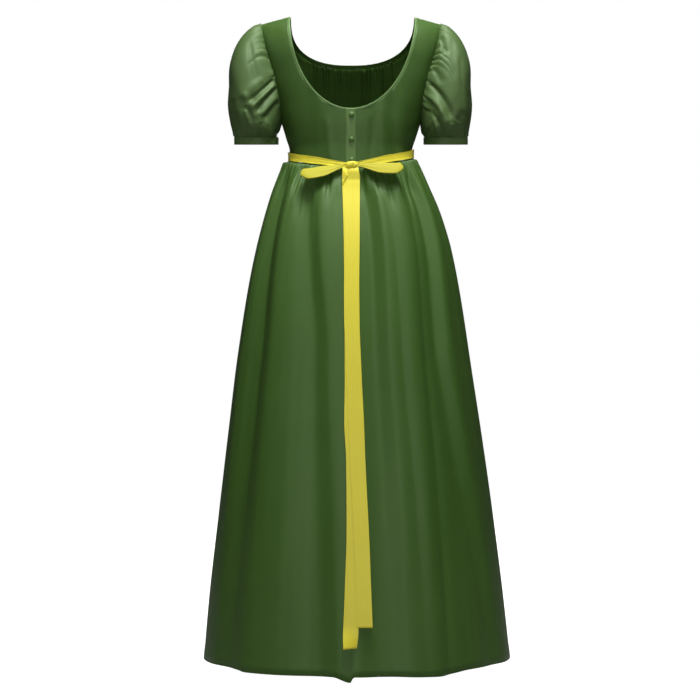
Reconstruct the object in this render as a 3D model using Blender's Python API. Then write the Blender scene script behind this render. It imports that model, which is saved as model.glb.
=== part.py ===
"""A regency gown, hollow as if worn: scooped bodice buttoned down the back, puffed sleeves gathered
into cuffs, a high waist, a long gathered skirt, and a ribbon tied in a bow behind.

Axes: +X to the wearer's left, -Y the wearer's front, +Z up. The origin is midway between the two
neck points of the shoulder seams, where the wearer carries the gown. Tables are in millimetres.
"""

import math
from collections import namedtuple

import bpy
from mathutils import Vector

MM = 0.001

# --- driving dimensions, in millimetres -------------------------------------------------------
CLOTH = 1.2  # wall of the gown's cloth
RIBBON_CLOTH = 1.0  # wall of the ribbon
BINDING_CLOTH = 1.5  # the neckline's edging is folded double
SEAM_GAP = 0.3  # clear space between two pieces that are sewn together
LAYER_GAP = 0.35  # clear space between a panel and what lies on it

NECK_HALF_WIDTH = 133.0  # from the centre to the neck point of the shoulder seam
SHOULDER_LENGTH = 59.0  # across, from the neck point to the sleeve
SHOULDER_SLOPE = 0.275  # fall of the shoulder seam for each millimetre across
SHOULDER_ROUND = 95.0  # height over which front and back curve together into the shoulder seam
BACK_NECK_DEPTH = 208.5
FRONT_NECK_DEPTH = 88.6
NECK_SHIFT = 3.5  # the neck points lie this far towards the wearer's right
BACK_NECK_ROUND = 2.0  # exponent of the superellipse that each neckline follows
FRONT_NECK_ROUND = 2.5
UNDERARM = -230.0  # height of the bottom of the armhole
CHEST_DROP = 26.0  # the line across the chest meets the side seam this far below the armhole
PLAN_ROUND = 2.25  # exponent of the superellipse that each level's plan follows

WAIST_SEAM_GAP = 0.8  # clear space between bodice and skirt, hidden by the belt
SEAM_AT_SIDE = -307.0  # height of the waist seam at the side, front and back
SEAM_AT_FRONT = -299.0
SEAM_AT_BACK = -334.0
SEAM_TILT = 3.0  # the wearer's left end of the seam is this much lower, the right end higher
HEM_LEVEL = -1372.0

BINDING_WIDTH = 4.5  # bound edge of the back neckline
NECK_BAND_WIDTH = 8.0  # band that the front is gathered into
BUTTON_BAND_WIDTH = 22.0
BUTTON_RADIUS = 6.0
BUTTON_HEIGHT = 4.4
BUTTON_LEVELS = (-222.5, -274.0, -317.2)
BUTTON_ACROSS = -1.0  # distance of the buttons from the centre, towards the wearer's left
BUTTON_BAND_ACROSS = 0.8

BELT_RISE = 0.9  # height of the belt's lower edge over the waist seam
BELT_HALF_HEIGHT = 9.3  # the ribbon is drawn in and creased to this around the waist
BELT_HALF_HEIGHT_AT_KNOT = 4.6
BELT_STAND_OFF = 3.4  # from the waist to the inside of the belt
KNOT_CENTRE = (-1.0, 110.5, -328.5)
KNOT_RADII = (13.5, 6.5, 7.6)
TAIL_START = 1.5  # the tails leave the knot this far behind its centre

SLEEVE_PIVOT_X = 146.0  # the sleeve's sections fan out round a line here, front to back
SLEEVE_PIVOT_Z = -259.0
SLEEVE_ROUND = 0.85  # 1 is a plain ellipse, less is squarer
CUFF_ROUND = 0.95
CUFF_HEIGHT = 15.0
CUFF_STAND_OFF = 1.6  # the cuff's outside over the sleeve's last ring
ARM_FORWARD = 6.0  # the cuffs sit this far in front of the shoulders
CUFF_TILT = 0.11  # the cuff's plane rises towards the front

# --- how finely the surfaces are divided ------------------------------------------------------
WAIST_GATHERS = 64
SLEEVE_GATHERS = 16
COLUMNS_PER_GATHER = 3
NECK_GATHERS = 20  # each of these is two columns, a ridge and a trough
ARMHOLE_STEPS = 8  # from underarm to shoulder, behind and in front

# --- tables -----------------------------------------------------------------------------------
# Bodice sections: height, half width, depth behind and before the side seams.
Section = namedtuple("Section", "z half_width back front")
BODICE = (
    Section(-334.0, 131.0, 94.0, 99.0),
    Section(-288.0, 131.5, 94.5, 101.0),
    Section(-262.0, 139.0, 97.0, 112.0),
    Section(-230.0, 149.0, 100.0, 121.0),
    Section(-190.0, 160.0, 101.0, 124.0),
    Section(-150.0, 172.0, 99.0, 117.0),
    Section(-100.0, 185.0, 94.0, 105.0),
    Section(-50.0, 196.0, 90.0, 97.0),
    Section(0.0, 206.0, 88.0, 93.0),
)

# Edge of the armhole, seen from behind: height, distance from the centre.
Edge = namedtuple("Edge", "z x")
ARMHOLE = (
    Edge(-230.0, 149.0),
    Edge(-212.0, 150.0),
    Edge(-185.0, 152.0),
    Edge(-155.0, 158.0),
    Edge(-128.0, 164.0),
    Edge(-97.0, 174.0),
    Edge(-66.0, 183.0),
    Edge(-16.0, 192.0),
)

# Skirt rings: fall below the waist seam at the side, half width, depth behind and before, and how
# far the ring's middle lies towards the wearer's right.
Ring = namedtuple("Ring", "fall half_width back front shift")
SKIRT = (
    Ring(0.0, 131.5, 94.5, 99.5, 0.0),
    Ring(1.5, 136.5, 98.0, 102.5, -1.0),
    Ring(5.0, 141.5, 100.5, 105.0, -1.5),
    Ring(22.0, 150.0, 107.0, 111.0, -0.5),
    Ring(65.0, 169.0, 121.5, 123.0, 0.5),
    Ring(108.0, 185.5, 135.0, 134.0, 3.0),
    Ring(151.0, 198.8, 147.0, 144.0, 4.3),
    Ring(194.0, 210.0, 157.0, 152.0, 5.0),
    Ring(280.0, 227.0, 173.0, 167.0, 5.0),
    Ring(409.0, 247.0, 192.0, 185.0, 5.0),
    Ring(581.0, 270.5, 214.0, 206.0, 7.5),
    Ring(753.0, 292.5, 232.0, 224.0, 9.5),
    Ring(925.0, 313.5, 247.0, 239.0, 10.5),
    Ring(1065.0, 327.5, 258.0, 250.0, 12.0),
)

FOLD_DEPTH = 1.05  # all the long folds are this much deeper than the table says
FOLD_REACH = 1.6  # how far from its crest a long fold's foot lies, in its own spread
FOLD_CREST = 0.22  # how softly the crest turns over, in the fold's own spread
FOLD_FOOT = 5.0  # how tightly its side turns into the cloth beside it

# Long folds of the skirt. Place is the share of the half width from the ring's middle, towards the
# wearer's left where it is positive, at the waist, the middle and the hem. Rise is how far the fold
# stands out, or in where it is negative, near the waist, in the middle and at the hem. Spread is its
# half width near the waist and at the hem. Sharp makes the side of the fold that faces the
# wearer's left (above 0) or right (below 0) the steeper one.
Fold = namedtuple("Fold", "half waist middle hem rise_top rise_mid rise_hem spread_top spread_hem sharp")
FOLDS = (
    Fold("back", 0.95, 0.93, 0.90, 4.0, 7.0, 1.0, 9.0, 28.0, 0.0),
    Fold("back", 0.88, 0.79, 0.80, -9.0, -11.0, -6.0, 9.0, 30.0, 0.0),
    Fold("back", 0.74, 0.675, 0.70, 11.0, 12.0, 9.0, 22.0, 84.0, 0.7),
    Fold("back", 0.52, 0.31, 0.21, -7.0, -8.5, -6.0, 10.0, 38.0, 0.0),
    Fold("back", 0.40, 0.20, 0.10, 11.0, 9.5, 7.0, 15.0, 54.0, 0.75),
    Fold("back", 0.05, 0.00, 0.00, 1.0, 2.0, 7.0, 10.0, 26.0, -0.6),
    Fold("back", -0.20, -0.18, -0.22, -8.0, -8.0, -4.5, 12.0, 36.0, 0.0),
    Fold("back", -0.31, -0.30, -0.34, 10.0, 7.5, 4.0, 13.0, 42.0, 0.7),
    Fold("back", -0.41, -0.40, -0.44, -4.5, -4.5, -2.0, 5.0, 14.0, 0.0),
    Fold("back", -0.55, -0.50, -0.49, 9.5, 9.0, 6.0, 17.0, 50.0, -0.5),
    Fold("back", -0.66, -0.60, -0.57, -1.5, -3.5, -3.5, 5.0, 11.0, 0.0),
    Fold("back", -0.79, -0.715, -0.86, -10.0, -10.0, -4.0, 9.0, 28.0, 0.0),
    Fold("back", -0.87, -0.79, -0.93, 7.0, 7.5, 3.0, 10.0, 34.0, 0.5),
    Fold("front", 0.93, 0.92, 0.90, -5.0, -6.0, -5.0, 9.0, 26.0, 0.0),
    Fold("front", 0.80, 0.79, 0.80, 6.0, 8.0, 7.0, 11.0, 34.0, 0.3),
    Fold("front", 0.66, 0.64, 0.66, -6.5, -7.0, -4.0, 9.0, 28.0, 0.0),
    Fold("front", 0.52, 0.50, 0.50, 6.0, 7.5, 7.5, 11.0, 36.0, -0.4),
    Fold("front", 0.37, 0.35, 0.33, -7.0, -6.0, -4.0, 9.0, 30.0, 0.0),
    Fold("front", 0.20, 0.19, 0.17, 6.0, 7.0, 6.0, 11.0, 34.0, 0.3),
    Fold("front", 0.02, 0.00, -0.02, -6.5, -6.0, -3.0, 10.0, 32.0, 0.0),
    Fold("front", -0.17, -0.19, -0.22, 7.0, 8.0, 8.0, 12.0, 38.0, -0.3),
    Fold("front", -0.35, -0.37, -0.39, -6.0, -6.5, -5.0, 9.0, 28.0, 0.0),
    Fold("front", -0.52, -0.54, -0.55, 6.5, 7.0, 5.0, 11.0, 34.0, 0.4),
    Fold("front", -0.67, -0.70, -0.70, -7.0, -7.5, -5.0, 9.0, 26.0, 0.0),
    Fold("front", -0.82, -0.83, -0.83, 5.5, 7.0, 6.0, 10.0, 32.0, 0.0),
    Fold("front", -0.94, -0.94, -0.94, -4.0, -5.0, -4.0, 8.0, 22.0, 0.0),
)

# How far the hem hangs below its level behind, by the share of the half width.
Drop = namedtuple("Drop", "place drop")
HEM_DROPS = (
    Drop(-1.00, -9.0),
    Drop(-0.86, -6.5),
    Drop(-0.70, -4.0),
    Drop(-0.50, 5.0),
    Drop(-0.25, 2.5),
    Drop(-0.05, 1.5),
    Drop(0.02, 1.0),
    Drop(0.04, 12.0),
    Drop(0.15, 2.0),
    Drop(0.69, 1.0),
    Drop(0.73, -2.0),
    Drop(0.90, -4.5),
    Drop(1.00, -2.0),
)

# Sleeve sections: angle of the fan from straight up, where the section starts and ends along it,
# and its half depth, front to back.
Slice = namedtuple("Slice", "angle inner outer depth")
SLEEVE = (
    Slice(11.0, 21.0, 247.5, 54.0),
    Slice(16.0, 16.0, 248.0, 62.0),
    Slice(21.0, 14.5, 237.5, 67.0),
    Slice(27.0, 13.5, 218.5, 72.0),
    Slice(35.0, 12.5, 193.0, 76.0),
    Slice(47.0, 11.8, 154.5, 79.0),
    Slice(60.0, 11.5, 133.5, 79.0),
    Slice(72.0, 11.3, 118.0, 74.0),
    Slice(83.0, 11.2, 108.0, 61.0),
    Slice(90.0, 11.2, 104.0, 50.0),
)
SLEEVE_SPREAD = {1: 3.5, -1: -1.5}  # the left sleeve's belly stands out further than the right one's

# Soft folds of a sleeve. Around is the angle from the shoulder through the back to the underarm, in
# degrees. The fold runs from one place to the other, and along is the share from armhole to cuff.
SleeveFold = namedtuple("SleeveFold", "start_around start_along end_around end_along rise spread")
SLEEVE_FOLDS = {
    1: (
        SleeveFold(38.0, 0.10, 62.0, 0.42, -5.0, 9.0),
        SleeveFold(104.0, 0.10, 66.0, 0.62, -6.5, 7.0),
        SleeveFold(122.0, 0.16, 84.0, 0.72, -6.0, 7.0),
        SleeveFold(113.0, 0.12, 72.0, 0.70, 4.0, 7.0),
        SleeveFold(20.0, 0.55, 34.0, 0.98, -4.0, 10.0),
        SleeveFold(140.0, 0.30, 112.0, 0.85, -4.0, 8.0),
        SleeveFold(-60.0, 0.12, -80.0, 0.55, -5.0, 9.0),
        SleeveFold(-110.0, 0.14, -88.0, 0.70, -5.0, 8.0),
        SleeveFold(-30.0, 0.50, -44.0, 0.95, -4.0, 10.0),
    ),
    -1: (
        SleeveFold(58.0, 0.12, 74.0, 0.34, -4.0, 8.0),
        SleeveFold(92.0, 0.14, 70.0, 0.66, -6.0, 9.0),
        SleeveFold(118.0, 0.16, 92.0, 0.80, -5.5, 8.0),
        SleeveFold(106.0, 0.14, 80.0, 0.76, 4.5, 8.0),
        SleeveFold(14.0, 0.50, 28.0, 0.97, -3.5, 10.0),
        SleeveFold(138.0, 0.30, 118.0, 0.88, -4.0, 8.0),
        SleeveFold(-55.0, 0.12, -76.0, 0.52, -5.0, 9.0),
        SleeveFold(-106.0, 0.16, -84.0, 0.68, -5.0, 8.0),
        SleeveFold(-24.0, 0.52, -40.0, 0.95, -4.0, 10.0),
    ),
}

# Bow loops: side, root and tip of the middle line, half width at root and belly, how far the two
# layers part, and how far the ribbon leans back from upright, in degrees.
Loop = namedtuple("Loop", "name root tip root_half belly_half opening lean")
LOOPS = (
    Loop("bow_loop_left", (14.5, 107.5, -329.5), (104.0, 117.0, -349.0), 5.5, 13.5, 5.0, 52.0),
    Loop("bow_loop_right", (-16.0, 107.5, -328.0), (-108.0, 116.0, -335.5), 5.5, 14.0, 5.5, 50.0),
)

# Ribbon tails, from the knot down: height, the middle's distance to the wearer's left, half width,
# and how far the ribbon is turned about its length, in degrees.
Tail = namedtuple("Tail", "z x half turn")
TAIL_LEFT = (
    Tail(-337.5, 4.5, 8.5, 0.0),
    Tail(-352.0, 5.0, 13.0, 0.0),
    Tail(-403.0, 1.7, 15.5, 0.0),
    Tail(-488.0, -0.4, 15.5, 0.0),
    Tail(-613.0, -1.6, 15.5, 0.0),
    Tail(-777.0, -2.7, 15.5, 0.0),
    Tail(-859.0, -1.7, 15.5, 0.0),
    Tail(-940.0, -5.5, 15.5, 0.0),
    Tail(-1080.0, -6.5, 15.5, 0.0),
    Tail(-1182.0, -3.5, 15.5, 0.0),
    Tail(-1270.0, 0.0, 15.5, 0.0),
    Tail(-1315.0, 2.5, 15.5, -30.0),
)
TAIL_RIGHT = (
    Tail(-337.5, -5.0, 8.0, 0.0),
    Tail(-352.0, -4.0, 12.5, 0.0),
    Tail(-403.0, -2.8, 15.5, 0.0),
    Tail(-488.0, -2.3, 15.5, 0.0),
    Tail(-613.0, -1.0, 15.5, 0.0),
    Tail(-777.0, -6.5, 15.5, 0.0),
    Tail(-859.0, -10.5, 15.5, 0.0),
    Tail(-940.0, -13.5, 15.5, 0.0),
    Tail(-1020.0, -17.4, 15.5, 0.0),
    Tail(-1101.0, -21.4, 15.5, 0.0),
    Tail(-1182.0, -24.4, 15.5, 0.0),
    Tail(-1274.0, -28.0, 15.5, 0.0),
)

# Colours: red, green, blue, roughness.
BODICE_GREEN = (0.045, 0.095, 0.027, 0.62)
SLEEVE_GREEN = (0.075, 0.135, 0.050, 0.50)
BUTTON_GREEN = (0.055, 0.110, 0.033, 0.50)
RIBBON_YELLOW = (0.70, 0.60, 0.055, 0.38)


# --- small tools ------------------------------------------------------------------------------
def lerp(a, b, t):
    return a + (b - a) * t


def clamp(value, low=0.0, high=1.0):
    return max(low, min(high, value))


def ease(t):
    """0 to 1 with a level start and end."""
    t = clamp(t)
    return t * t * (3 - 2 * t)


def power(value, exponent):
    """A power that keeps its sign."""
    return math.copysign(abs(value) ** exponent, value)


def bell(distance, spread, sharp=0.0):
    """A soft swelling of height 1. Sharp narrows its right side (below 0) or its left side (above 0)."""
    side = 1.0 if distance * sharp <= 0 else 1.0 - 0.75 * abs(sharp)
    return math.exp(-((distance / (spread * side)) ** 2))


def ridge(distance, spread, sharp=0.0):
    """A fold of height 1 with even sides, a soft crest and soft feet, narrowed by sharp as the bell is."""
    side = 1.0 if distance * sharp <= 0 else 1.0 - 0.75 * abs(sharp)
    slope = math.hypot(distance / (spread * side), FOLD_CREST) - FOLD_CREST
    return math.log1p(math.exp(FOLD_FOOT * (1 - slope / FOLD_REACH))) / FOLD_FOOT


def curve_through(rows, key, column):
    """A smooth function of one column of a table, which keeps between its neighbours' values."""
    xs = [getattr(row, key) for row in rows]
    ys = [getattr(row, column) for row in rows]
    slopes = [(ys[k + 1] - ys[k]) / (xs[k + 1] - xs[k]) for k in range(len(xs) - 1)]
    tangents = [slopes[0]]
    for before, after in zip(slopes, slopes[1:]):
        tangents.append(0.0 if before * after <= 0 else 2 * before * after / (before + after))
    tangents.append(slopes[-1])

    def at(x):
        x = clamp(x, min(xs), max(xs))
        k = next((n for n in range(len(xs) - 1) if (x - xs[n]) * (x - xs[n + 1]) <= 0), len(xs) - 2)
        width = xs[k + 1] - xs[k]
        t = (x - xs[k]) / width
        return (
            ys[k] * (1 + 2 * t) * (1 - t) ** 2
            + ys[k + 1] * t * t * (3 - 2 * t)
            + width * tangents[k] * t * (1 - t) ** 2
            - width * tangents[k + 1] * t * t * (1 - t)
        )

    return at


# --- meshes -----------------------------------------------------------------------------------
def material(name, colour):
    made = bpy.data.materials.new(name)
    made.use_nodes = True
    shader = made.node_tree.nodes["Principled BSDF"]
    red, green, blue, roughness = colour
    shader.inputs["Base Color"].default_value = (red, green, blue, 1.0)
    shader.inputs["Roughness"].default_value = roughness
    shader.inputs["Metallic"].default_value = 0.0
    return made


def make_object(name, points, faces, colour):
    """One named solid from points in millimetres."""
    mesh = bpy.data.meshes.new(name)
    mesh.from_pydata([tuple(p * MM) for p in points], [], faces)
    mesh.validate()
    mesh.shade_smooth()
    mesh.set_sharp_from_angle(angle=math.radians(50))
    mesh.materials.append(material(name, colour))
    made = bpy.data.objects.new(name, mesh)
    bpy.context.scene.collection.objects.link(made)
    return made


def normals_of(points, faces):
    """The average direction that the faces round each point look in."""
    found = [Vector() for _ in points]
    for face in faces:
        corners = [points[k] for k in face]
        look = Vector()
        for here, after in zip(corners, corners[1:] + corners[:1]):
            look += here.cross(after)
        for k in face:
            found[k] += look
    return [look.normalized() for look in found]


def wall(name, outer, inner, faces, colour):
    """A solid wall between two sheets of points with the same faces, closed along every free edge."""
    count = len(outer)
    solid = [tuple(face) for face in faces]
    solid += [tuple(k + count for k in reversed(face)) for face in faces]
    uses = {}
    for face in faces:
        for a, b in zip(face, face[1:] + face[:1]):
            uses.setdefault(frozenset((a, b)), []).append((a, b))
    for ways in uses.values():
        if len(ways) == 1:
            a, b = ways[0]
            solid.append((b, a, a + count, b + count))
    return make_object(name, list(outer) + list(inner), solid, colour)


def sheet_of(cells):
    """Points numbered, and faces, from cells given as tuples of keys in a dictionary of points."""
    keys = {}
    faces = []
    for cell in cells:
        faces.append(tuple(keys.setdefault(key, len(keys)) for key in cell))
    return list(keys), faces


def strip_cells(rows, columns, closed=False):
    """Cells of a plain grid, keyed by column and row. A closed grid is a tube."""
    around = columns if closed else columns + 1
    return [
        ((i, j), ((i + 1) % around, j), ((i + 1) % around, j + 1), (i, j + 1))
        for j in range(rows)
        for i in range(columns)
    ]


# --- the waist seam and the bodice's form -----------------------------------------------------
def waist_seam(angle):
    """Height of the waist seam. The angle runs from the wearer's left side through the back."""
    share = 1 - abs(abs(angle) - math.pi / 2) / (math.pi / 2)
    middle = SEAM_AT_BACK if angle > 0 else SEAM_AT_FRONT
    return lerp(SEAM_AT_SIDE, middle, clamp(share) ** 1.15) - SEAM_TILT * math.cos(angle)


bodice_half_width = curve_through(BODICE, "z", "half_width")
bodice_back = curve_through(BODICE, "z", "back")
bodice_front = curve_through(BODICE, "z", "front")
armhole_edge = curve_through(ARMHOLE, "z", "x")


def shoulder_height(x):
    return -SHOULDER_SLOPE * max(0.0, abs(x) - NECK_HALF_WIDTH)


def over_shoulder(x, z):
    """Share of the depth that is left where front and back curve together at the shoulder."""
    top = shoulder_height(x)
    share = clamp((z - (top - SHOULDER_ROUND)) / SHOULDER_ROUND)
    return math.sqrt(max(0.0, 1 - share * share))


def bodice_point(half, side, u, z):
    """The bodice's outside. u runs from 0 at the centre to 1 at the side."""
    width = bodice_half_width(z)
    depth = bodice_back(z) if half == "back" else bodice_front(z)
    exponent = 2 / PLAN_ROUND
    x = width * math.sin(u * math.pi / 2) ** exponent
    y = depth * max(0.0, math.cos(u * math.pi / 2)) ** exponent * over_shoulder(x, z)
    return Vector((side * x, y if half == "back" else -y, z))


def u_at(x, z):
    """The bodice's u at a distance from the centre."""
    share = clamp(abs(x) / bodice_half_width(z))
    return math.asin(share ** (PLAN_ROUND / 2)) * 2 / math.pi


def on_bodice(half, x, z):
    """The bodice's outside at a place seen from behind or before."""
    return bodice_point(half, math.copysign(1, x), u_at(x, z), z)


def off_bodice(half, x, z, away):
    """The same place moved straight out from the cloth."""
    step = 0.5
    here = on_bodice(half, x, z)
    across = on_bodice(half, x + step, z) - on_bodice(half, x - step, z)
    up = on_bodice(half, x, z + step) - on_bodice(half, x, z - step)
    look = across.cross(up)
    if look.y * (1 if half == "back" else -1) < 0:
        look.negate()
    return here + look.normalized() * away


def neck_edge(half, share):
    """(x, z) of a neckline's free edge, from the centre at share 0 to the neck point at share 1."""
    depth, exponent = (
        (BACK_NECK_DEPTH, 2 / BACK_NECK_ROUND) if half == "back" else (FRONT_NECK_DEPTH, 2 / FRONT_NECK_ROUND)
    )
    turn = (1 - clamp(share)) * math.pi / 2
    return NECK_HALF_WIDTH * power(math.cos(turn), exponent), -depth * power(math.sin(turn), exponent)


def neckline(half, side, share, reach=0.0):
    """(distance from the centre, z) of a line that runs beside a neckline, that far into the cloth."""
    x, z = neck_edge(half, share)
    x_before, z_before = neck_edge(half, share - 0.01)
    x_after, z_after = neck_edge(half, share + 0.01)
    along = math.hypot(x_after - x_before, z_after - z_before)
    x += reach * (z_after - z_before) / along - side * NECK_SHIFT * share**2
    z -= reach * (x_after - x_before) / along
    return x, min(z, shoulder_height(x))


# --- bodice panels ----------------------------------------------------------------------------
# A panel is L-shaped: a low part from the waist seam up to the neckline and the chest, and a high
# part from the chest up to the shoulder seam. Band is the width left for what edges the neckline.
# The corner is where the two parts meet, as a share of the neckline and of the waist seam.
Panel = namedtuple("Panel", "half band inner_columns outer_columns neck_corner waist_corner")
BACK_PANEL = Panel("back", BINDING_WIDTH, 5, 5, neck_corner=0.42, waist_corner=0.42)
FRONT_PANEL = Panel("front", NECK_BAND_WIDTH, NECK_GATHERS, 5, neck_corner=0.45, waist_corner=0.50)
LOW_ROWS = (0.0, 0.1, 0.24, 0.45, 0.72, 1.0)  # levels of the low part, as shares of its height
HIGH_ROWS = ARMHOLE_STEPS + 1  # levels of the high part: one below the armhole, the rest along it


def neck_shares(panel):
    """The places along the neckline, as shares, where the panel and its edging have points."""
    low = [panel.neck_corner * k / panel.inner_columns for k in range(panel.inner_columns)]
    high = [lerp(panel.neck_corner, 1.0, k / HIGH_ROWS) for k in range(HIGH_ROWS + 1)]
    return low + high


def armhole_height(share):
    """Height along the armhole, from the underarm at share 0 to the shoulder at share 1."""
    top = shoulder_height(NECK_HALF_WIDTH + SHOULDER_LENGTH)
    return lerp(UNDERARM, top, (1 - math.cos(share * math.pi)) / 2)


def seam_point(half, side, u):
    """(u, z) on the bodice's side of the waist seam."""
    angle = math.pi / 2 - side * u * math.pi / 2
    return u, waist_seam(angle if half == "back" else -angle) + WAIST_SEAM_GAP


def filled(bottom, top, left, right, s, t):
    """A place inside four edges, each a function of 0 to 1 that gives (u, z)."""
    found = []
    for k in (0, 1):
        across = lerp(left(t)[k], right(t)[k], s)
        along = lerp(bottom(s)[k], top(s)[k], t)
        corners = lerp(lerp(bottom(0)[k], bottom(1)[k], s), lerp(top(0)[k], top(1)[k], s), t)
        found.append(across + along - corners)
    return found


def straight(start, end):
    return lambda t: (lerp(start[0], end[0], t), lerp(start[1], end[1], t))


def arm_place(panel, row):
    """(x, z) of a row's outer end in the high part: the side seam, then along the armhole."""
    z = UNDERARM - CHEST_DROP if row == 0 else armhole_height((row - 1) / ARMHOLE_STEPS)
    return (bodice_half_width(z) if row == 0 else armhole_edge(z)), z


def high_place(panel, side, column, row):
    """(u, z) in the high part, on straight lines from neckline to armhole."""
    share = 1 - (1 - column / panel.outer_columns) ** 2
    along = lerp(panel.neck_corner, 1.0, row / HIGH_ROWS)
    neck_x, neck_z = neckline(panel.half, side, along, panel.band + SEAM_GAP)
    arm_x, arm_z = arm_place(panel, row)
    x, z = lerp(neck_x, arm_x, share), lerp(neck_z, arm_z, share)
    return u_at(x, z), z


def panel_places(panel, side):
    """{(column, row): (u, z)} of half a panel."""

    def neck(share):
        x, z = neckline(panel.half, side, share * panel.neck_corner, panel.band + SEAM_GAP)
        return u_at(x, z), z

    def seam(u):
        return seam_point(panel.half, side, u)

    def chest(share):
        return high_place(panel, side, share * outer, 0)

    inner, outer, low = panel.inner_columns, panel.outer_columns, len(LOW_ROWS) - 1
    rise = straight(seam(panel.waist_corner), neck(1.0))
    middle = straight(seam(0.0), neck(0.0))
    side_seam = straight(seam(1.0), chest(1.0))
    places = {}
    for j, t in enumerate(LOW_ROWS):
        for i in range(inner):
            places[i, j] = filled(lambda s: seam(s * panel.waist_corner), neck, middle, rise, i / inner, t)
        for i in range(outer + 1):
            bottom = lambda s: seam(lerp(panel.waist_corner, 1.0, s))
            places[inner + i, j] = filled(bottom, chest, rise, side_seam, i / outer, t)
    for j in range(1, HIGH_ROWS + 1):
        for i in range(outer + 1):
            places[inner + i, low + j] = high_place(panel, side, i, j)
    return places


def panel_cells(panel, side):
    """Cells of half a panel. Columns on the wearer's right have negative numbers."""
    cells = []
    for i in range(panel.inner_columns + panel.outer_columns):
        rows = len(LOW_ROWS) - 1 + (HIGH_ROWS if i >= panel.inner_columns else 0)
        for j in range(rows):
            cell = [(side * a, b) for a, b in ((i, j), (i + 1, j), (i + 1, j + 1), (i, j + 1))]
            turned = (side > 0) == (panel.half == "back")
            cells.append(tuple(reversed(cell)) if turned else tuple(cell))
    return cells


def front_gathers(column, z):
    """How far the front stands out in gathers under the neck band and over the waist seam."""
    inside = ease((FRONT_PANEL.inner_columns + 1 - column) / 3)
    below_neck = max(0.0, -FRONT_NECK_DEPTH - z)
    above_waist = max(0.0, z - SEAM_AT_FRONT)
    strength = math.exp(-below_neck / 45) + 0.8 * math.exp(-above_waist / 32)
    return 1.5 * inside * strength * (1 if column % 2 == 0 else -1)


def build_panel(name, panel, sides, colour):
    cells = []
    outer_at = {}
    for side in sides:
        cells += panel_cells(panel, side)
        for (column, row), (u, z) in panel_places(panel, side).items():
            point = bodice_point(panel.half, side, u, z)
            if panel.half == "front":
                point.y -= front_gathers(column, z)
            outer_at[side * column, row] = point
    keys, faces = sheet_of(cells)
    outer = [outer_at[key] for key in keys]
    inner = [p - look * CLOTH for p, look in zip(outer, normals_of(outer, faces))]
    facing = 1 if panel.half == "back" else -1
    for sheet in (outer, inner):
        for key, point in zip(keys, sheet):
            point.y = facing * max(facing * point.y, SEAM_GAP / 2)
            if key[1] == 0:
                point.z = max(point.z, outer_at[key].z)
            if len(sides) == 1:
                point.x = sides[0] * max(sides[0] * point.x, SEAM_GAP / 2)
    return wall(name, outer, inner, faces, colour)


# --- bands, bindings and buttons on the bodice ------------------------------------------------
def build_edging(name, panel, sides, thickness, colour):
    """A flat band that carries the panel's cloth on up to the neckline."""
    places = []
    for side in sides:
        run = [(side, share) for share in neck_shares(panel)]
        places += reversed(run) if side < 0 else (run[1:] if len(sides) > 1 else run)
    middle = SEAM_GAP / 2 if len(sides) == 1 else 0.0
    outer = []
    for side, share in places:
        for reach in (0.0, panel.band):
            x, z = neckline(panel.half, side, share, reach)
            outer.append(bodice_point(panel.half, side, u_at(x, z), z))
    faces = [(2 * k, 2 * k + 2, 2 * k + 3, 2 * k + 1) for k in range(len(places) - 1)]
    facing = 1 if panel.half == "back" else -1
    if sum(look.y for look in normals_of(outer, faces)) * facing < 0:
        faces = [tuple(reversed(face)) for face in faces]
    inner = [p - look * thickness for p, look in zip(outer, normals_of(outer, faces))]
    for sheet in (outer, inner):
        for k, point in enumerate(sheet):
            side = places[k // 2][0]
            point.y = facing * max(facing * point.y, SEAM_GAP / 2)
            point.x = side * max(side * point.x, middle)
    return wall(name, outer, inner, faces, colour)


def build_button_band(colour):
    """The overlap down the centre of the back, from the bound neckline to the waist seam."""
    rows, columns = 8, 4
    top = -BACK_NECK_DEPTH - 0.8
    outer, inner = [], []
    for j in range(rows + 1):
        for i in range(columns + 1):
            x = BUTTON_BAND_ACROSS + lerp(-0.5, 0.5, i / columns) * BUTTON_BAND_WIDTH
            bottom = seam_point("back", 1, u_at(x, SEAM_AT_BACK))[1]
            z = lerp(bottom, top, j / rows)
            outer.append(off_bodice("back", x + 1e-6, z, LAYER_GAP + CLOTH))
            inner.append(off_bodice("back", x + 1e-6, z, LAYER_GAP))
    line = columns + 1
    faces = [
        (j * line + i, (j + 1) * line + i, (j + 1) * line + i + 1, j * line + i + 1)
        for j in range(rows)
        for i in range(columns)
    ]
    return wall("button_band", outer, inner, faces, colour)


def build_button(name, level, colour):
    """A covered button: a low dome on a flat back."""
    profile = (
        (0.55, 0.0),
        (0.96, 0.12),
        (1.0, 0.34),
        (0.86, 0.68),
        (0.55, 0.92),
    )
    sides = 14
    seat = off_bodice("back", BUTTON_ACROSS, level, 2 * LAYER_GAP + CLOTH)
    out = (off_bodice("back", BUTTON_ACROSS, level, 2 * LAYER_GAP + CLOTH + 1) - seat).normalized()
    across = Vector((1, 0, 0))
    up = out.cross(across).normalized()
    points, faces = [seat], []
    for radius, height in profile:
        for k in range(sides):
            turn = k * 2 * math.pi / sides
            spoke = across * math.cos(turn) + up * math.sin(turn)
            points.append(seat + spoke * radius * BUTTON_RADIUS + out * height * BUTTON_HEIGHT)
    points.append(seat + out * BUTTON_HEIGHT)
    last = len(points) - 1
    for k in range(sides):
        after = (k + 1) % sides
        faces.append((0, 1 + after, 1 + k))
        for ring in range(len(profile) - 1):
            low, high = 1 + ring * sides, 1 + (ring + 1) * sides
            faces.append((low + k, low + after, high + after, high + k))
        high = 1 + (len(profile) - 1) * sides
        faces.append((high + k, high + after, last))
    return make_object(name, points, faces, colour)


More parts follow.
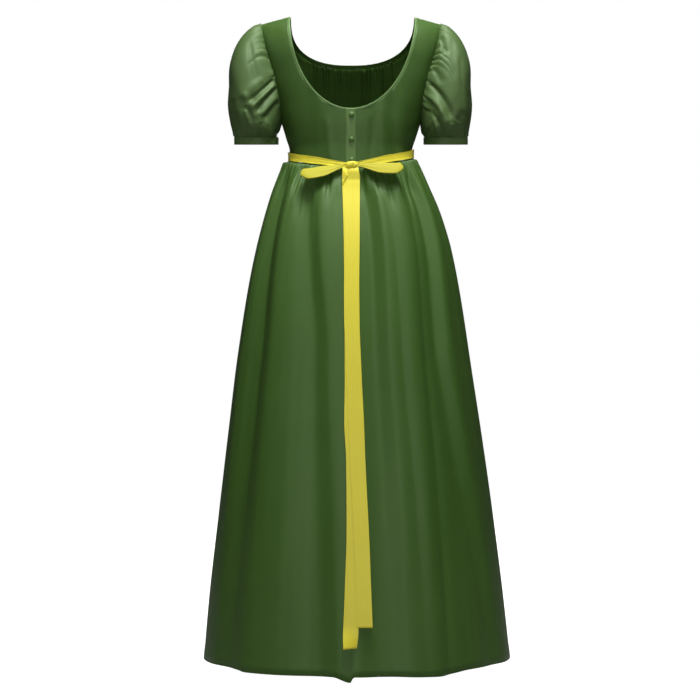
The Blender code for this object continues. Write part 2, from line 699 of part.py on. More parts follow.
# --- sleeves ----------------------------------------------------------------------------------
sleeve_inner = curve_through(SLEEVE, "angle", "inner")
sleeve_outer = curve_through(SLEEVE, "angle", "outer")
sleeve_depth = curve_through(SLEEVE, "angle", "depth")
SLEEVE_ROWS = (0.0, 0.04, 0.10, 0.18, 0.28, 0.42, 0.58, 0.73, 0.87, 0.96, 1.0)


def armhole_point(side, around):
    """The bodice's armhole, which runs straight between the panels' points. Around runs from the
    shoulder through the back to the underarm, and on through the front."""
    half = "back" if math.sin(around) >= 0 else "front"
    place = (1 - abs((around + math.pi) % (2 * math.pi) - math.pi) / math.pi) * ARMHOLE_STEPS
    step = min(int(place + 1e-6), ARMHOLE_STEPS - 1)
    ends = []
    for k in (step, step + 1):
        z = armhole_height(k / ARMHOLE_STEPS)
        ends.append(bodice_point(half, side, u_at(armhole_edge(z), z), z))
    return ends[0].lerp(ends[1], clamp(place - step))


def sleeve_middle(side, along):
    """Middle of the sleeve's section."""
    angle = lerp(SLEEVE[0].angle, SLEEVE[-1].angle, along)
    reach = (sleeve_inner(angle) + sleeve_outer(angle)) / 2
    turn = math.radians(angle)
    x = SLEEVE_PIVOT_X + reach * math.sin(turn) + SLEEVE_SPREAD[side] * math.sin(2 * turn)
    return Vector((side * x, -ARM_FORWARD * along, SLEEVE_PIVOT_Z + reach * math.cos(turn)))


def sleeve_form(side, around, along):
    """The smooth puff, without gathers or folds."""
    angle = lerp(SLEEVE[0].angle, SLEEVE[-1].angle, along)
    half_reach = (sleeve_outer(angle) - sleeve_inner(angle)) / 2
    turn = math.radians(angle)
    square = lerp(SLEEVE_ROUND, CUFF_ROUND, along ** 4)
    reach = half_reach * power(math.cos(around), square)
    depth = sleeve_depth(angle) * power(math.sin(around), square)
    puff = sleeve_middle(side, along)
    lift = -CUFF_TILT * depth * along ** 2
    puff += Vector((side * reach * math.sin(turn), depth, reach * math.cos(turn) + lift))
    hold = (1 - clamp(along / 0.22)) ** 2
    start = armhole_point(side, around) + Vector((side * (SEAM_GAP + 0.15), 0, 0))
    return puff.lerp(start, hold)


def sleeve_relief(side, around, along):
    """Gathers at the cap and the cuff, and the soft folds between them."""
    crown = clamp(0.5 + 0.75 * math.cos(around))
    wave = math.cos(around * SLEEVE_GATHERS)
    cap = 3.6 * crown * wave * math.exp(-along / 0.15) * ease(along / 0.04)
    outside = 0.35 + 0.65 * clamp(0.5 + 0.75 * math.cos(around))
    cuff = 3.0 * outside * wave * math.exp(-(1 - along) / 0.12) * ease((1 - along) / 0.04)
    total = cap + cuff
    for fold in SLEEVE_FOLDS[side]:
        degrees = math.degrees(around)
        degrees = degrees - 360 if degrees > 180 else degrees
        share = (along - fold.start_along) / (fold.end_along - fold.start_along)
        middle = lerp(fold.start_around, fold.end_around, clamp(share))
        fade = ease(share * 3 + 0.5) * ease((1 - share) * 3 + 0.5) * ease(along / 0.16)
        total += fold.rise * fade * outside * bell(degrees - middle, fold.spread)
    return total


def build_sleeve(name, side, colour):
    columns = SLEEVE_GATHERS * COLUMNS_PER_GATHER
    rows = len(SLEEVE_ROWS) - 1
    keys, faces = sheet_of(strip_cells(rows, columns, closed=True))
    if side > 0:
        faces = [tuple(reversed(face)) for face in faces]
    outer, inner = [], []
    for column, row in keys:
        around, along = column * 2 * math.pi / columns, SLEEVE_ROWS[row]
        point = sleeve_form(side, around, along)
        inward = (sleeve_middle(side, along) - point).normalized()
        if row == 0:
            inward.x = 0.0
        point -= inward * sleeve_relief(side, around, along)
        outer.append(point)
        inner.append(point + inward * (CLOTH + 0.3))
    return wall(name, outer, inner, faces, colour)


def build_cuff(name, side, colour):
    columns, levels = 32, 1
    last = SLEEVE[-1]
    half = (last.outer - last.inner) / 2
    middle = sleeve_middle(side, 1.0)
    keys, faces = sheet_of(strip_cells(levels, columns, closed=True))
    if side > 0:
        faces = [tuple(reversed(face)) for face in faces]
    outer, inner = [], []
    for column, level in keys:
        around = column * 2 * math.pi / columns
        spoke = Vector((side * half * power(math.cos(around), CUFF_ROUND), 0, 0))
        spoke.y = last.depth * power(math.sin(around), CUFF_ROUND)
        out = spoke.normalized()
        down = Vector((0, 0, SEAM_GAP + 0.2 + CUFF_HEIGHT * level / levels + CUFF_TILT * spoke.y))
        outer.append(middle + spoke + out * CUFF_STAND_OFF - down)
        inner.append(middle + spoke + out * (CUFF_STAND_OFF - CLOTH - 0.6) - down)
    return wall(name, outer, inner, faces, colour)


# --- skirt ------------------------------------------------------------------------------------
skirt_half_width = curve_through(SKIRT, "fall", "half_width")
skirt_back = curve_through(SKIRT, "fall", "back")
skirt_front = curve_through(SKIRT, "fall", "front")
skirt_shift = curve_through(SKIRT, "fall", "shift")
hem_drop = curve_through(HEM_DROPS, "place", "drop")
FULL_FALL = SKIRT[-1].fall
SKIRT_FINE_ROWS = (0.0, 4.0, 16.0, 46.0)  # falls at which the rings carry every gather
SKIRT_COARSE_ROWS = (92.0, 150.0, 225.0, 320.0, 440.0, 590.0, 750.0, 910.0, 1065.0)


def place_on_ring(angle):
    """Share of the half width, from the middle, that a ring's angle lies at."""
    return power(math.cos(angle), 2 / PLAN_ROUND)


def angle_on_ring(place):
    return math.acos(clamp(power(place, PLAN_ROUND / 2), -1.0, 1.0))


def fold_relief(angle, fall):
    """How far the long folds push the skirt out or in."""
    half = "back" if angle >= 0 else "front"
    share = fall / FULL_FALL
    near_top = ease((fall - 6) / 60)
    total = 0.0
    around = (skirt_half_width(fall) + skirt_back(fall)) / 2
    for fold in FOLDS:
        if share < 0.4:
            place = lerp(fold.waist, fold.middle, ease(share / 0.4))
            rise = lerp(fold.rise_top, fold.rise_mid, share / 0.4)
        else:
            place = lerp(fold.middle, fold.hem, (share - 0.4) / 0.6)
            rise = lerp(fold.rise_mid, fold.rise_hem, ease((share - 0.4) / 0.6))
        spread = lerp(fold.spread_top, fold.spread_hem, share ** 0.6)
        middle = angle_on_ring(place) * (1 if fold.half == "back" else -1)
        distance = (angle - middle + math.pi) % (2 * math.pi) - math.pi
        if half == fold.half or abs(distance) < 0.5:
            lean = -fold.sharp if fold.half == "back" else fold.sharp
            total += near_top * FOLD_DEPTH * rise * ridge(distance * around, spread, lean)
    return total


def gather_relief(angle, fall):
    """Small gathers at the waist that join in pairs further down."""
    uneven = 0.35 * math.sin(5 * angle + 0.7) + 0.25 * math.sin(11 * angle + 2.1)
    fine = math.cos(WAIST_GATHERS * angle + uneven)
    paired = math.cos(WAIST_GATHERS / 2 * angle + uneven + 0.8)
    strength = 0.8 + 0.3 * math.sin(7 * angle + 1.1)
    near = 2.2 * fine * ease(fall / 5) * math.exp(-fall / 38)
    far = 2.6 * paired * ease(fall / 45) * math.exp(-fall / 130)
    return strength * (near + far)


def skirt_point(angle, fall, away=0.0):
    """The skirt's outside. Angles above 0 are behind, below 0 in front, 0 the wearer's left side."""
    exponent = 2 / PLAN_ROUND
    place = place_on_ring(angle)
    depth = skirt_back(fall) if angle >= 0 else -skirt_front(fall)
    width = skirt_half_width(fall)
    across = abs(math.sin(angle)) ** exponent
    hem = HEM_LEVEL - (hem_drop(place) * across if angle >= 0 else 0.0)
    share = fall / FULL_FALL
    z = lerp(waist_seam(angle), hem, share)
    out = Vector((place / width, across / depth, 0)).normalized()
    reach = fold_relief(angle, fall) + gather_relief(angle, fall) + away
    return Vector((width * place - skirt_shift(fall), depth * across, z)) + out * reach


def skirt_cells(fine, coarse, fine_rows, coarse_rows):
    """Cells of half a skirt, keyed by (position in fine columns, row). Each coarse column is two fine
    ones, and one row of three-cornered cells joins the two kinds."""
    cells = [((i, j), (i + 1, j), (i + 1, j + 1), (i, j + 1)) for j in range(fine_rows) for i in range(fine)]
    for k in range(coarse):
        left, middle, right = 2 * k, 2 * k + 1, 2 * k + 2
        low, high = fine_rows, fine_rows + 1
        cells += [((left, low), (middle, low), (left, high))]
        cells += [((middle, low), (right, high), (left, high)), ((middle, low), (right, low), (right, high))]
        for j in range(coarse_rows):
            row = high + j
            cells.append(((left, row), (right, row), (right, row + 1), (left, row + 1)))
    return cells


def build_skirt_half(name, half, colour):
    fine = WAIST_GATHERS * COLUMNS_PER_GATHER // 2
    falls = SKIRT_FINE_ROWS + SKIRT_COARSE_ROWS
    cells = skirt_cells(fine, fine // 2, len(SKIRT_FINE_ROWS) - 1, len(SKIRT_COARSE_ROWS) - 1)
    keys, faces = sheet_of(cells)
    facing = 1 if half == "back" else -1
    if half == "front":
        faces = [tuple(reversed(face)) for face in faces]
    outer, inner = [], []
    for column, row in keys:
        angle = facing * max(1e-6, column * math.pi / fine)
        outer.append(skirt_point(angle, falls[row]))
        inner.append(skirt_point(angle, falls[row], -CLOTH))
    for sheet in (outer, inner):
        for key, point in zip(keys, sheet):
            point.y = facing * max(facing * point.y, SEAM_GAP / 2)
            if key[1] == 0:
                point.z -= SEAM_GAP / 2
    faces = [tuple(reversed(face)) for face in faces]
    return wall(name, outer, inner, faces, colour)


def fall_at(z):
    """The fall below the waist seam of a height at the centre of the back."""
    seam = waist_seam(math.pi / 2)
    return clamp((z - seam) / (HEM_LEVEL - seam)) * FULL_FALL


def skirt_depth_at(x, z):
    """How far behind the middle the skirt's outside lies, near the centre of the back."""
    fall = fall_at(z)
    place = clamp((x + skirt_shift(fall)) / skirt_half_width(fall), -1.0, 1.0)
    return skirt_point(angle_on_ring(place), fall).y


# --- ribbon -----------------------------------------------------------------------------------
def near_knot(angle):
    """1 at the knot, fading to 0 at a quarter of the way to the sides."""
    return ease(1 - abs(angle - math.pi / 2) / 0.75)


def build_belt(colour):
    """The ribbon round the waist, creased lengthwise."""
    columns, rows = 56, 2
    keys, faces = sheet_of(strip_cells(rows, columns, closed=True))
    exponent = 2 / PLAN_ROUND
    outer, inner = [], []
    for column, row in keys:
        angle = (column * 2 * math.pi / columns + math.pi) % (2 * math.pi) - math.pi
        behind = math.sin(angle) >= 0
        half = lerp(BELT_HALF_HEIGHT, BELT_HALF_HEIGHT_AT_KNOT, near_knot(angle))
        up = 1 - 2 * row / rows
        z = waist_seam(angle) + BELT_RISE + (1 + up) * half
        x = bodice_half_width(z) * power(math.cos(angle), exponent)
        y = (bodice_back(z) if behind else bodice_front(z)) * power(math.sin(angle), exponent)
        out = Vector((x, y * 1.6, 0)).normalized()
        crease = 0.7 if up == 0 else 0.0
        for sheet, away in ((outer, RIBBON_CLOTH), (inner, 0.0)):
            sheet.append(Vector((x, y, z)) + out * (BELT_STAND_OFF + away - crease))
    return wall("ribbon_belt", outer, inner, [tuple(reversed(face)) for face in faces], colour)


def build_knot(colour):
    """The tight wrap that holds loops and tails."""
    sides, rings = 16, 8
    middle, radii = Vector(KNOT_CENTRE), Vector(KNOT_RADII)
    points = [middle + Vector((0, 0, radii.z))]
    for ring in range(1, rings):
        polar = ring * math.pi / rings
        for k in range(sides):
            turn = k * 2 * math.pi / sides
            x = power(math.sin(polar), 0.7) * power(math.cos(turn), 0.8)
            y = power(math.sin(polar), 0.7) * power(math.sin(turn), 0.8)
            z = power(math.cos(polar), 0.8)
            points.append(middle + Vector((x * radii.x, y * radii.y, z * radii.z)))
    points.append(middle - Vector((0, 0, radii.z)))
    last = len(points) - 1
    faces = []
    for k in range(sides):
        after = (k + 1) % sides
        faces.append((0, 1 + k, 1 + after))
        for ring in range(rings - 2):
            high, low = 1 + ring * sides, 1 + (ring + 1) * sides
            faces.append((high + k, low + k, low + after, high + after))
        low = 1 + (rings - 2) * sides
        faces.append((low + k, last, low + after))
    return make_object("ribbon_knot", points, faces, colour)


def build_loop(loop, colour):
    """A bow loop: the ribbon runs out from the knot, turns at the tip and comes back under itself."""
    steps, columns = 22, 3
    root, tip = Vector(loop.root), Vector(loop.tip)
    axis = (tip - root).normalized()
    lean = math.radians(loop.lean)
    broad = Vector((0, -math.sin(lean), math.cos(lean)))
    broad = (broad - axis * broad.dot(axis)).normalized()
    apart = axis.cross(broad).normalized()
    if apart.y < 0:
        apart.negate()
    length = (tip - root).length
    outer, inner = [], []
    for step in range(steps + 1):
        turn = math.pi * step / steps
        out = (1 - math.cos(2 * turn)) / 2
        reach = length * (1 - (1 - out) ** 1.3)
        swell = loop.opening * math.sin(math.pi * out**1.6) ** 0.8 + 1.2 * (1 - out)
        parting = swell if turn < math.pi / 2 else -swell
        half = lerp(loop.root_half, loop.belly_half, ease(out / 0.45))
        middle = root + axis * reach + apart * parting
        middle.z -= 3.0 * math.sin(math.pi * out)
        along = 1 if turn < math.pi / 2 else -1
        look = (apart * along * (1 - out**6) + axis * out**6).normalized()
        for column in range(columns + 1):
            across = lerp(-half, half, column / columns)
            sag = 0.8 * (1 - (2 * column / columns - 1) ** 2)
            place = middle + broad * across
            outer.append(place + look * (RIBBON_CLOTH / 2 + sag))
            inner.append(place + look * (sag - RIBBON_CLOTH / 2))
    line = columns + 1
    faces = [
        (j * line + i, j * line + i + 1, (j + 1) * line + i + 1, (j + 1) * line + i)
        for j in range(steps)
        for i in range(columns)
    ]
    looks = normals_of(outer, faces)
    if looks[line * 3 + 1].dot(apart) < 0:
        faces = [tuple(reversed(face)) for face in faces]
    return wall(loop.name, outer, inner, faces, colour)


def folds_under_tails(z):
    """How far the skirt's highest fold under both tails stands out at a height."""
    return max(skirt_depth_at(x, z) for x in range(-44, 22, 6)) - skirt_back(fall_at(z))


def depth_of_tails(z):
    """The tails hang straight down from the knot, then rest on the skirt and bridge its hollows."""
    drop = SEAM_AT_BACK - HEM_LEVEL
    folds = max(folds_under_tails(z + reach * drop) for reach in (-0.03, -0.015, 0.0, 0.015, 0.03))
    return max(skirt_back(fall_at(z)) + folds, KNOT_CENTRE[1] + TAIL_START)


def build_tail(name, rows, layer, colour):
    columns, steps = 3, 22
    across_at = curve_through(rows, "z", "x")
    half_at = curve_through(rows, "z", "half")
    turn_at = curve_through(rows, "z", "turn")
    outer, inner = [], []
    for k in range(steps + 1):
        z = lerp(rows[0].z, rows[-1].z, (k / steps) ** 1.3)
        half, turn = half_at(z), math.radians(turn_at(z))
        across = Vector((math.cos(turn), -math.sin(turn), 0))
        out = Vector((math.sin(turn), math.cos(turn), 0))
        depth = depth_of_tails(z) + layer + half * abs(math.sin(turn))
        hinge = Vector((across_at(z), depth, z))
        for column in range(columns + 1):
            place = hinge + across * half * (1 - 2 * column / columns)
            outer.append(place + out * RIBBON_CLOTH)
            inner.append(place)
    line = columns + 1
    faces = [
        (j * line + i, (j + 1) * line + i, (j + 1) * line + i + 1, j * line + i + 1)
        for j in range(steps)
        for i in range(columns)
    ]
    return wall(name, outer, inner, faces, colour)


# --- the gown ---------------------------------------------------------------------------------
def build_gown():
    for old in list(bpy.data.objects):
        bpy.data.objects.remove(old, do_unlink=True)
    build_panel("bodice_back_left", BACK_PANEL, (1,), BODICE_GREEN)
    build_panel("bodice_back_right", BACK_PANEL, (-1,), BODICE_GREEN)
    build_panel("bodice_front", FRONT_PANEL, (-1, 1), BODICE_GREEN)
    build_edging("neck_binding_left", BACK_PANEL, (1,), BINDING_CLOTH, BODICE_GREEN)
    build_edging("neck_binding_right", BACK_PANEL, (-1,), BINDING_CLOTH, BODICE_GREEN)
    build_edging("neck_band_front", FRONT_PANEL, (-1, 1), BINDING_CLOTH, BODICE_GREEN)
    build_button_band(BODICE_GREEN)
    for number, level in enumerate(BUTTON_LEVELS, start=1):
        build_button(f"button_{number}", level, BUTTON_GREEN)

    for label, side in (("left", 1), ("right", -1)):
        build_sleeve(f"sleeve_{label}", side, SLEEVE_GREEN)
        build_cuff(f"cuff_{label}", side, SLEEVE_GREEN)

    build_skirt_half("skirt_back", "back", BODICE_GREEN)
    build_skirt_half("skirt_front", "front", BODICE_GREEN)

    build_belt(RIBBON_YELLOW)
    build_knot(RIBBON_YELLOW)
    for loop in LOOPS:
        build_loop(loop, RIBBON_YELLOW)
    build_tail("ribbon_tail_left", TAIL_LEFT, 1.2, RIBBON_YELLOW)
    build_tail("ribbon_tail_right", TAIL_RIGHT, 3.4, RIBBON_YELLOW)


build_gown()
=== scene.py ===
"""Looks of the regency gown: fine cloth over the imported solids' forms, its sewing and its ribbon.

Axes as in the frame: +X to the wearer's left, -Y the wearer's front, +Z up. Sizes are in
millimetres until a mesh is made. Facing is 1 on the gown's back and -1 on its front, side is 1 on
the wearer's left and -1 on the right. The tables repeat the driving dimensions of the part's source.
"""
import math
from collections import namedtuple

import bmesh
import bpy
import numpy as np
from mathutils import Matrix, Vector


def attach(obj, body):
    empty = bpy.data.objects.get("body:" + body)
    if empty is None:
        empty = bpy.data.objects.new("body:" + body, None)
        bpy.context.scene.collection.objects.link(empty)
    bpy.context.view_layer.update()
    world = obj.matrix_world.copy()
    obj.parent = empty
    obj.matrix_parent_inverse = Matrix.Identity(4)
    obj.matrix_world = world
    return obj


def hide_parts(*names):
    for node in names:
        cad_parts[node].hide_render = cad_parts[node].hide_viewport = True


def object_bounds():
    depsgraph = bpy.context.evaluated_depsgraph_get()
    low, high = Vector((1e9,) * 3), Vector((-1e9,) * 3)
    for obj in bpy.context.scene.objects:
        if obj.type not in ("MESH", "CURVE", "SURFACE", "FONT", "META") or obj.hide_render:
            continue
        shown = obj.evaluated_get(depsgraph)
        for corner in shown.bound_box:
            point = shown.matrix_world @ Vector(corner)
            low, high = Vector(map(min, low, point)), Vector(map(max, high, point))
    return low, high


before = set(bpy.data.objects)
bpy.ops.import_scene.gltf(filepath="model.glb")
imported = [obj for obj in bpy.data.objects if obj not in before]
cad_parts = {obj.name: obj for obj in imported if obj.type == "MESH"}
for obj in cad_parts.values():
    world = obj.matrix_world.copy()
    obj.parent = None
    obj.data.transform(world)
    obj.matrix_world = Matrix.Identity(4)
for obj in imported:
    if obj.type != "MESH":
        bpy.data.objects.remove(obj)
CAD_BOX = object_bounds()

MM = 0.001
WELD_GAP = 0.02
PI = math.pi
SIDES = (("left", 1), ("right", -1))
HALVES = (("back", 1), ("front", -1))

# --- driving dimensions, as in the part ---
CLOTH = 1.2
RIBBON_CLOTH = 1.0
BINDING_CLOTH = 1.5
CUFF_CLOTH = 1.8
SEAM_GAP = 0.3
SEAM_LAP = 0.05
LAYER_GAP = 0.35

NECK_HALF_WIDTH = 133
SHOULDER_LENGTH = 59
SHOULDER_SLOPE = 0.275
SHOULDER_ROUND = 95
BACK_NECK_DEPTH = 208.5
FRONT_NECK_DEPTH = 88.6
NECK_SHIFT = 3.5
BACK_NECK_ROUND = 2.0
FRONT_NECK_ROUND = 2.5
UNDERARM = -230
CHEST_DROP = 26
PLAN_ROUND = 2.25

WAIST_SEAM_GAP = 0.8
SEAM_AT_SIDE = -307
SEAM_AT_FRONT = -299
SEAM_AT_BACK = -334
SEAM_TILT = 3
SEAM_CURVE = 1.15  # 1 is an even slope from the sides to the middle of the back and front
HEM_LEVEL = -1372
HEM_WIDTH = 22  # the hem's turning

BINDING_WIDTH = 4.5
NECK_BAND_WIDTH = 8
BUTTON_BAND_WIDTH = 22
BUTTON_BAND_TOP = -209.3
BAND_EDGE_DIP = 0.8
BUTTON_RADIUS = 6
BUTTON_HEIGHT = 4.4
BUTTON_LEVELS = (-222.5, -274, -317.2)
BUTTON_ACROSS = -1
BUTTON_BAND_ACROSS = 0.8

BELT_RISE = 0.9
BELT_STAND_OFF = 3.4
KNOT_CENTRE = np.array((-1, 110.5, -328.5))
KNOT_RADII = (13.5, 6.5, 7.6)
KNOT_SKEW = -0.12
TAIL_START = 1.5  # the tails leave the knot this far behind its centre
TAIL_TUCK = 4  # how far the tails' tops go in behind the knot
TAIL_TUCK_HEIGHT = 12
CORNER_LEVEL = -352  # the corner that is turned at the top of the left tail
CORNER_HALF_HEIGHT = 24
CORNER_RISE = 3
LOOP_TIP_ROUND = 8
LOOP_SAG = 3

SLEEVE_ROUND = 0.85  # 1 is a plain ellipse, less is squarer
CUFF_ROUND = 0.95
SLEEVE_PIVOT_X = 146
SLEEVE_PIVOT_Z = -259
SLEEVE_SPREAD = {1: 3.5, -1: -1.5}
CUFF_HEIGHT = 15
CUFF_LAP = 1.4  # the cuff reaches this far up over the end of the sleeve
CUFF_STAND_OFF = 1.6
ARM_FORWARD = 6
CUFF_TILT = 0.11  # the cuff's plane rises towards the front

WAIST_GATHERS = 64
SLEEVE_GATHERS = 16
SLEEVE_PUCKERS = 42  # short ones, close to the armhole
NECK_GATHERS = 20
ARMHOLE_STEPS = 8

FOLD_DEPTH = 1.05
FOLD_REACH = 1.6  # how far from its crest a long fold's foot lies, in its own spread
FOLD_CREST = 0.22  # how softly the crest turns over, in the fold's own spread
FOLD_FOOT = 5  # how tightly its side turns into the cloth beside it
FOLD_MIDDLE = 0.4  # the share of the fall where a fold has its middle place and rise
FOLD_SHARP = 0.75  # how much of its width a fold's narrow side can lose

# Rows and columns of the meshes.
MESH = {
    "edging": (150, 8), "button_band": (90, 28), "sleeve": (90, 400), "cuff": (14, 200),
    "skirt": (110, 372), "belt": (18, 420), "knot": (48, 120), "loop": (110, 20), "tail": (340, 26),
}

# --- the camera: the distances of the photograph ---
CAMERA_DISTANCE = 4.0  # metres, from the gown's middle plane
FRAME_PIXELS = 700
METRES_PER_PIXEL = 0.00215  # in the plane through the gown's middle
CAMERA_PLACE = (0.00215, CAMERA_DISTANCE, -0.716)


# --- tables, as in the part ---
def table(kind, rows):
    """Rows with named columns."""
    return [kind(*row) for row in rows]


def halves(kind, back, front):
    """Rows whose first column is facing: those of the gown's back, then those of its front."""
    return [kind(facing, *row) for facing, rows in ((1, back), (-1, front)) for row in rows]


Width = namedtuple("Width", "turn half")
BELT_WIDTHS = table(Width, (
    (0, 4.6), (0.3, 6.3), (0.55, 7.6), (1.1, 8), (1.5, 9.3), (4.8, 9.3),
))
Section = namedtuple("Section", "z half_width back front")
BODICE = table(Section, (
    (-334, 131, 94, 99), (-288, 131.5, 94.5, 101), (-262, 139, 97, 112), (-230, 149, 100, 121),
    (-190, 160, 101, 124), (-150, 172, 99, 117), (-100, 185, 94, 105), (-50, 196, 90, 97),
    (0, 206, 88, 93),
))
Edge = namedtuple("Edge", "z x")
ARMHOLE = table(Edge, (
    (-230, 149), (-212, 150), (-185, 152), (-155, 158), (-128, 164), (-97, 174), (-66, 183),
    (-16, 192),
))
Ring = namedtuple("Ring", "fall half_width back front shift")
SKIRT = table(Ring, (
    (0, 131.5, 94.5, 99.5, 0), (1.5, 136.5, 98, 102.5, -1), (5, 141.5, 100.5, 105, -1.5),
    (22, 150, 107, 111, -0.5), (65, 169, 121.5, 123, 0.5), (108, 185.5, 135, 134, 3),
    (151, 198.8, 147, 144, 4.3), (194, 210, 157, 152, 5), (280, 227, 173, 167, 5),
    (409, 247, 192, 185, 5), (581, 270.5, 214, 206, 7.5), (753, 292.5, 232, 224, 9.5),
    (925, 313.5, 247, 239, 10.5), (1065, 327.5, 258, 250, 12),
))
Drop = namedtuple("Drop", "place drop")
HEM_DROPS = table(Drop, (
    (-1, -9), (-0.86, -6.5), (-0.7, -4), (-0.5, 5), (-0.25, 2.5), (-0.05, 1.5), (0.02, 1),
    (0.04, 12), (0.15, 2), (0.69, 1), (0.73, -2), (0.9, -4.5), (1, -2),
))
Slice = namedtuple("Slice", "angle inner outer depth")
SLEEVE = table(Slice, (
    (11, 21, 247.5, 54), (16, 16, 248, 62), (21, 14.5, 237.5, 67), (27, 13.5, 218.5, 72),
    (35, 12.5, 193, 76), (47, 11.8, 154.5, 79), (60, 11.5, 133.5, 79), (72, 11.3, 118, 74),
    (83, 11.2, 108, 61), (90, 11.2, 104, 50),
))
Loop = namedtuple("Loop", "name root tip root_half belly_half opening lean")
LOOPS = table(Loop, (
    ("bow_loop_left", (14.5, 107.5, -329.5), (104, 117, -349), 5, 13.8, 5, 36),
    ("bow_loop_right", (-16, 107.5, -328), (-108, 116, -335.5), 5, 13.6, 5.5, 34),
))
Tail = namedtuple("Tail", "z x half turn", defaults=[0])
TAIL_LEFT = table(Tail, (
    (-333.5, 6, 11), (-352, 5, 13.5), (-403, 1.7, 15.5), (-488, -0.4, 15.5), (-613, -1.6, 15.5),
    (-777, -2.7, 15.5), (-859, -1.7, 15.5), (-940, -5.5, 15.5), (-1080, -6.5, 15.5),
    (-1182, -3.5, 15.5), (-1270, 0, 15.5), (-1315, 2.5, 15.5, -30),
))
TAIL_RIGHT = table(Tail, (
    (-333.5, -5.5, 9.5), (-352, -4.5, 13.5), (-403, -2.8, 15.5), (-488, -2.3, 15.5),
    (-613, -1, 15.5), (-777, -6.5, 15.5), (-859, -10.5, 15.5), (-940, -13.5, 15.5),
    (-1020, -17.4, 15.5), (-1101, -21.4, 15.5), (-1182, -24.4, 15.5), (-1274, -28, 15.5),
))
FOLD_COLUMNS = "facing waist middle hem rise_top rise_mid rise_hem spread_top spread_hem sharp"
Fold = namedtuple("Fold", FOLD_COLUMNS, defaults=[0])
FOLDS = halves(Fold, back=(
    (0.95, 0.93, 0.9, 4, 7, 1, 9, 28),
    (0.88, 0.79, 0.8, -9, -11, -6, 9, 30),
    (0.74, 0.675, 0.7, 11, 12, 9, 22, 84, 0.7),
    (0.52, 0.31, 0.21, -7, -8.5, -6, 10, 38),
    (0.4, 0.2, 0.1, 11, 9.5, 7, 15, 54, 0.75),
    (0.05, 0, 0, 1, 2, 7, 10, 26, -0.6),
    (-0.2, -0.18, -0.22, -8, -8, -4.5, 12, 36),
    (-0.31, -0.3, -0.34, 10, 7.5, 4, 13, 42, 0.7),
    (-0.41, -0.4, -0.44, -4.5, -4.5, -2, 5, 14),
    (-0.55, -0.5, -0.49, 9.5, 9, 6, 17, 50, -0.5),
    (-0.66, -0.6, -0.57, -1.5, -3.5, -3.5, 5, 11),
    (-0.79, -0.715, -0.86, -10, -10, -4, 9, 28),
    (-0.87, -0.79, -0.93, 7, 7.5, 3, 10, 34, 0.5),
), front=(
    (0.93, 0.92, 0.9, -5, -6, -5, 9, 26),
    (0.8, 0.79, 0.8, 6, 8, 7, 11, 34, 0.3),
    (0.66, 0.64, 0.66, -6.5, -7, -4, 9, 28),
    (0.52, 0.5, 0.5, 6, 7.5, 7.5, 11, 36, -0.4),
    (0.37, 0.35, 0.33, -7, -6, -4, 9, 30),
    (0.2, 0.19, 0.17, 6, 7, 6, 11, 34, 0.3),
    (0.02, 0, -0.02, -6.5, -6, -3, 10, 32),
    (-0.17, -0.19, -0.22, 7, 8, 8, 12, 38, -0.3),
    (-0.35, -0.37, -0.39, -6, -6.5, -5, 9, 28),
    (-0.52, -0.54, -0.55, 6.5, 7, 5, 11, 34, 0.4),
    (-0.67, -0.7, -0.7, -7, -7.5, -5, 9, 26),
    (-0.82, -0.83, -0.83, 5.5, 7, 6, 10, 32),
    (-0.94, -0.94, -0.94, -4, -5, -4, 8, 22),
))

# --- tables of the finer creases ---
# Places are shares of the skirt's half width, at the fall where the crease starts and ends.
CREASE_COLUMNS = "facing start_place start_fall end_place end_fall rise spread_start spread_end"
Crease = namedtuple("Crease", CREASE_COLUMNS)
SKIRT_CREASES = halves(Crease, back=(
    (0.93, 3, 0.92, 90, -2.4, 3.5, 8),
    (0.73, 0, 0.66, 90, -4, 3, 6),
    (0.63, 0, 0.6, 140, -4.6, 3.5, 7),
    (0.57, 0, 0.53, 90, 3.4, 3.5, 7),
    (0.46, 0, 0.42, 70, -4, 3, 6),
    (0.3, 0, 0.27, 95, -4.4, 3.5, 7),
    (0.21, 0, 0.16, 70, 3.2, 3.5, 7),
    (-0.14, 0, -0.13, 80, -3.8, 3.5, 6),
    (-0.25, 0, -0.25, 70, 3.2, 3.5, 7),
    (-0.36, 0, -0.35, 80, -4, 3, 6),
    (-0.47, 0, -0.47, 120, -4.2, 3.5, 7),
    (-0.6, 0, -0.57, 90, 3.6, 3.5, 7),
    (-0.71, 0, -0.67, 150, -4.4, 3.5, 7),
    (-0.82, 0, -0.79, 90, -3.6, 3, 6),
    (-0.93, 4, -0.91, 160, -2.4, 4, 9),
), front=(
    (0.86, 3, 0.87, 220, -2.4, 4, 10),
    (0.59, 3, 0.58, 330, 2.6, 4, 11),
    (0.44, 3, 0.42, 170, -2.8, 4, 9),
    (0.28, 3, 0.26, 420, 2.4, 4, 12),
    (0.11, 3, 0.1, 260, -2.6, 4, 10),
    (-0.08, 3, -0.1, 360, 2.6, 4, 12),
    (-0.26, 3, -0.28, 200, -2.6, 4, 9),
    (-0.44, 3, -0.45, 400, 2.4, 4, 12),
    (-0.6, 3, -0.61, 230, -2.6, 4, 10),
    (-0.75, 3, -0.76, 350, 2.4, 4, 11),
    (-0.89, 3, -0.89, 260, -2.4, 4, 10),
))
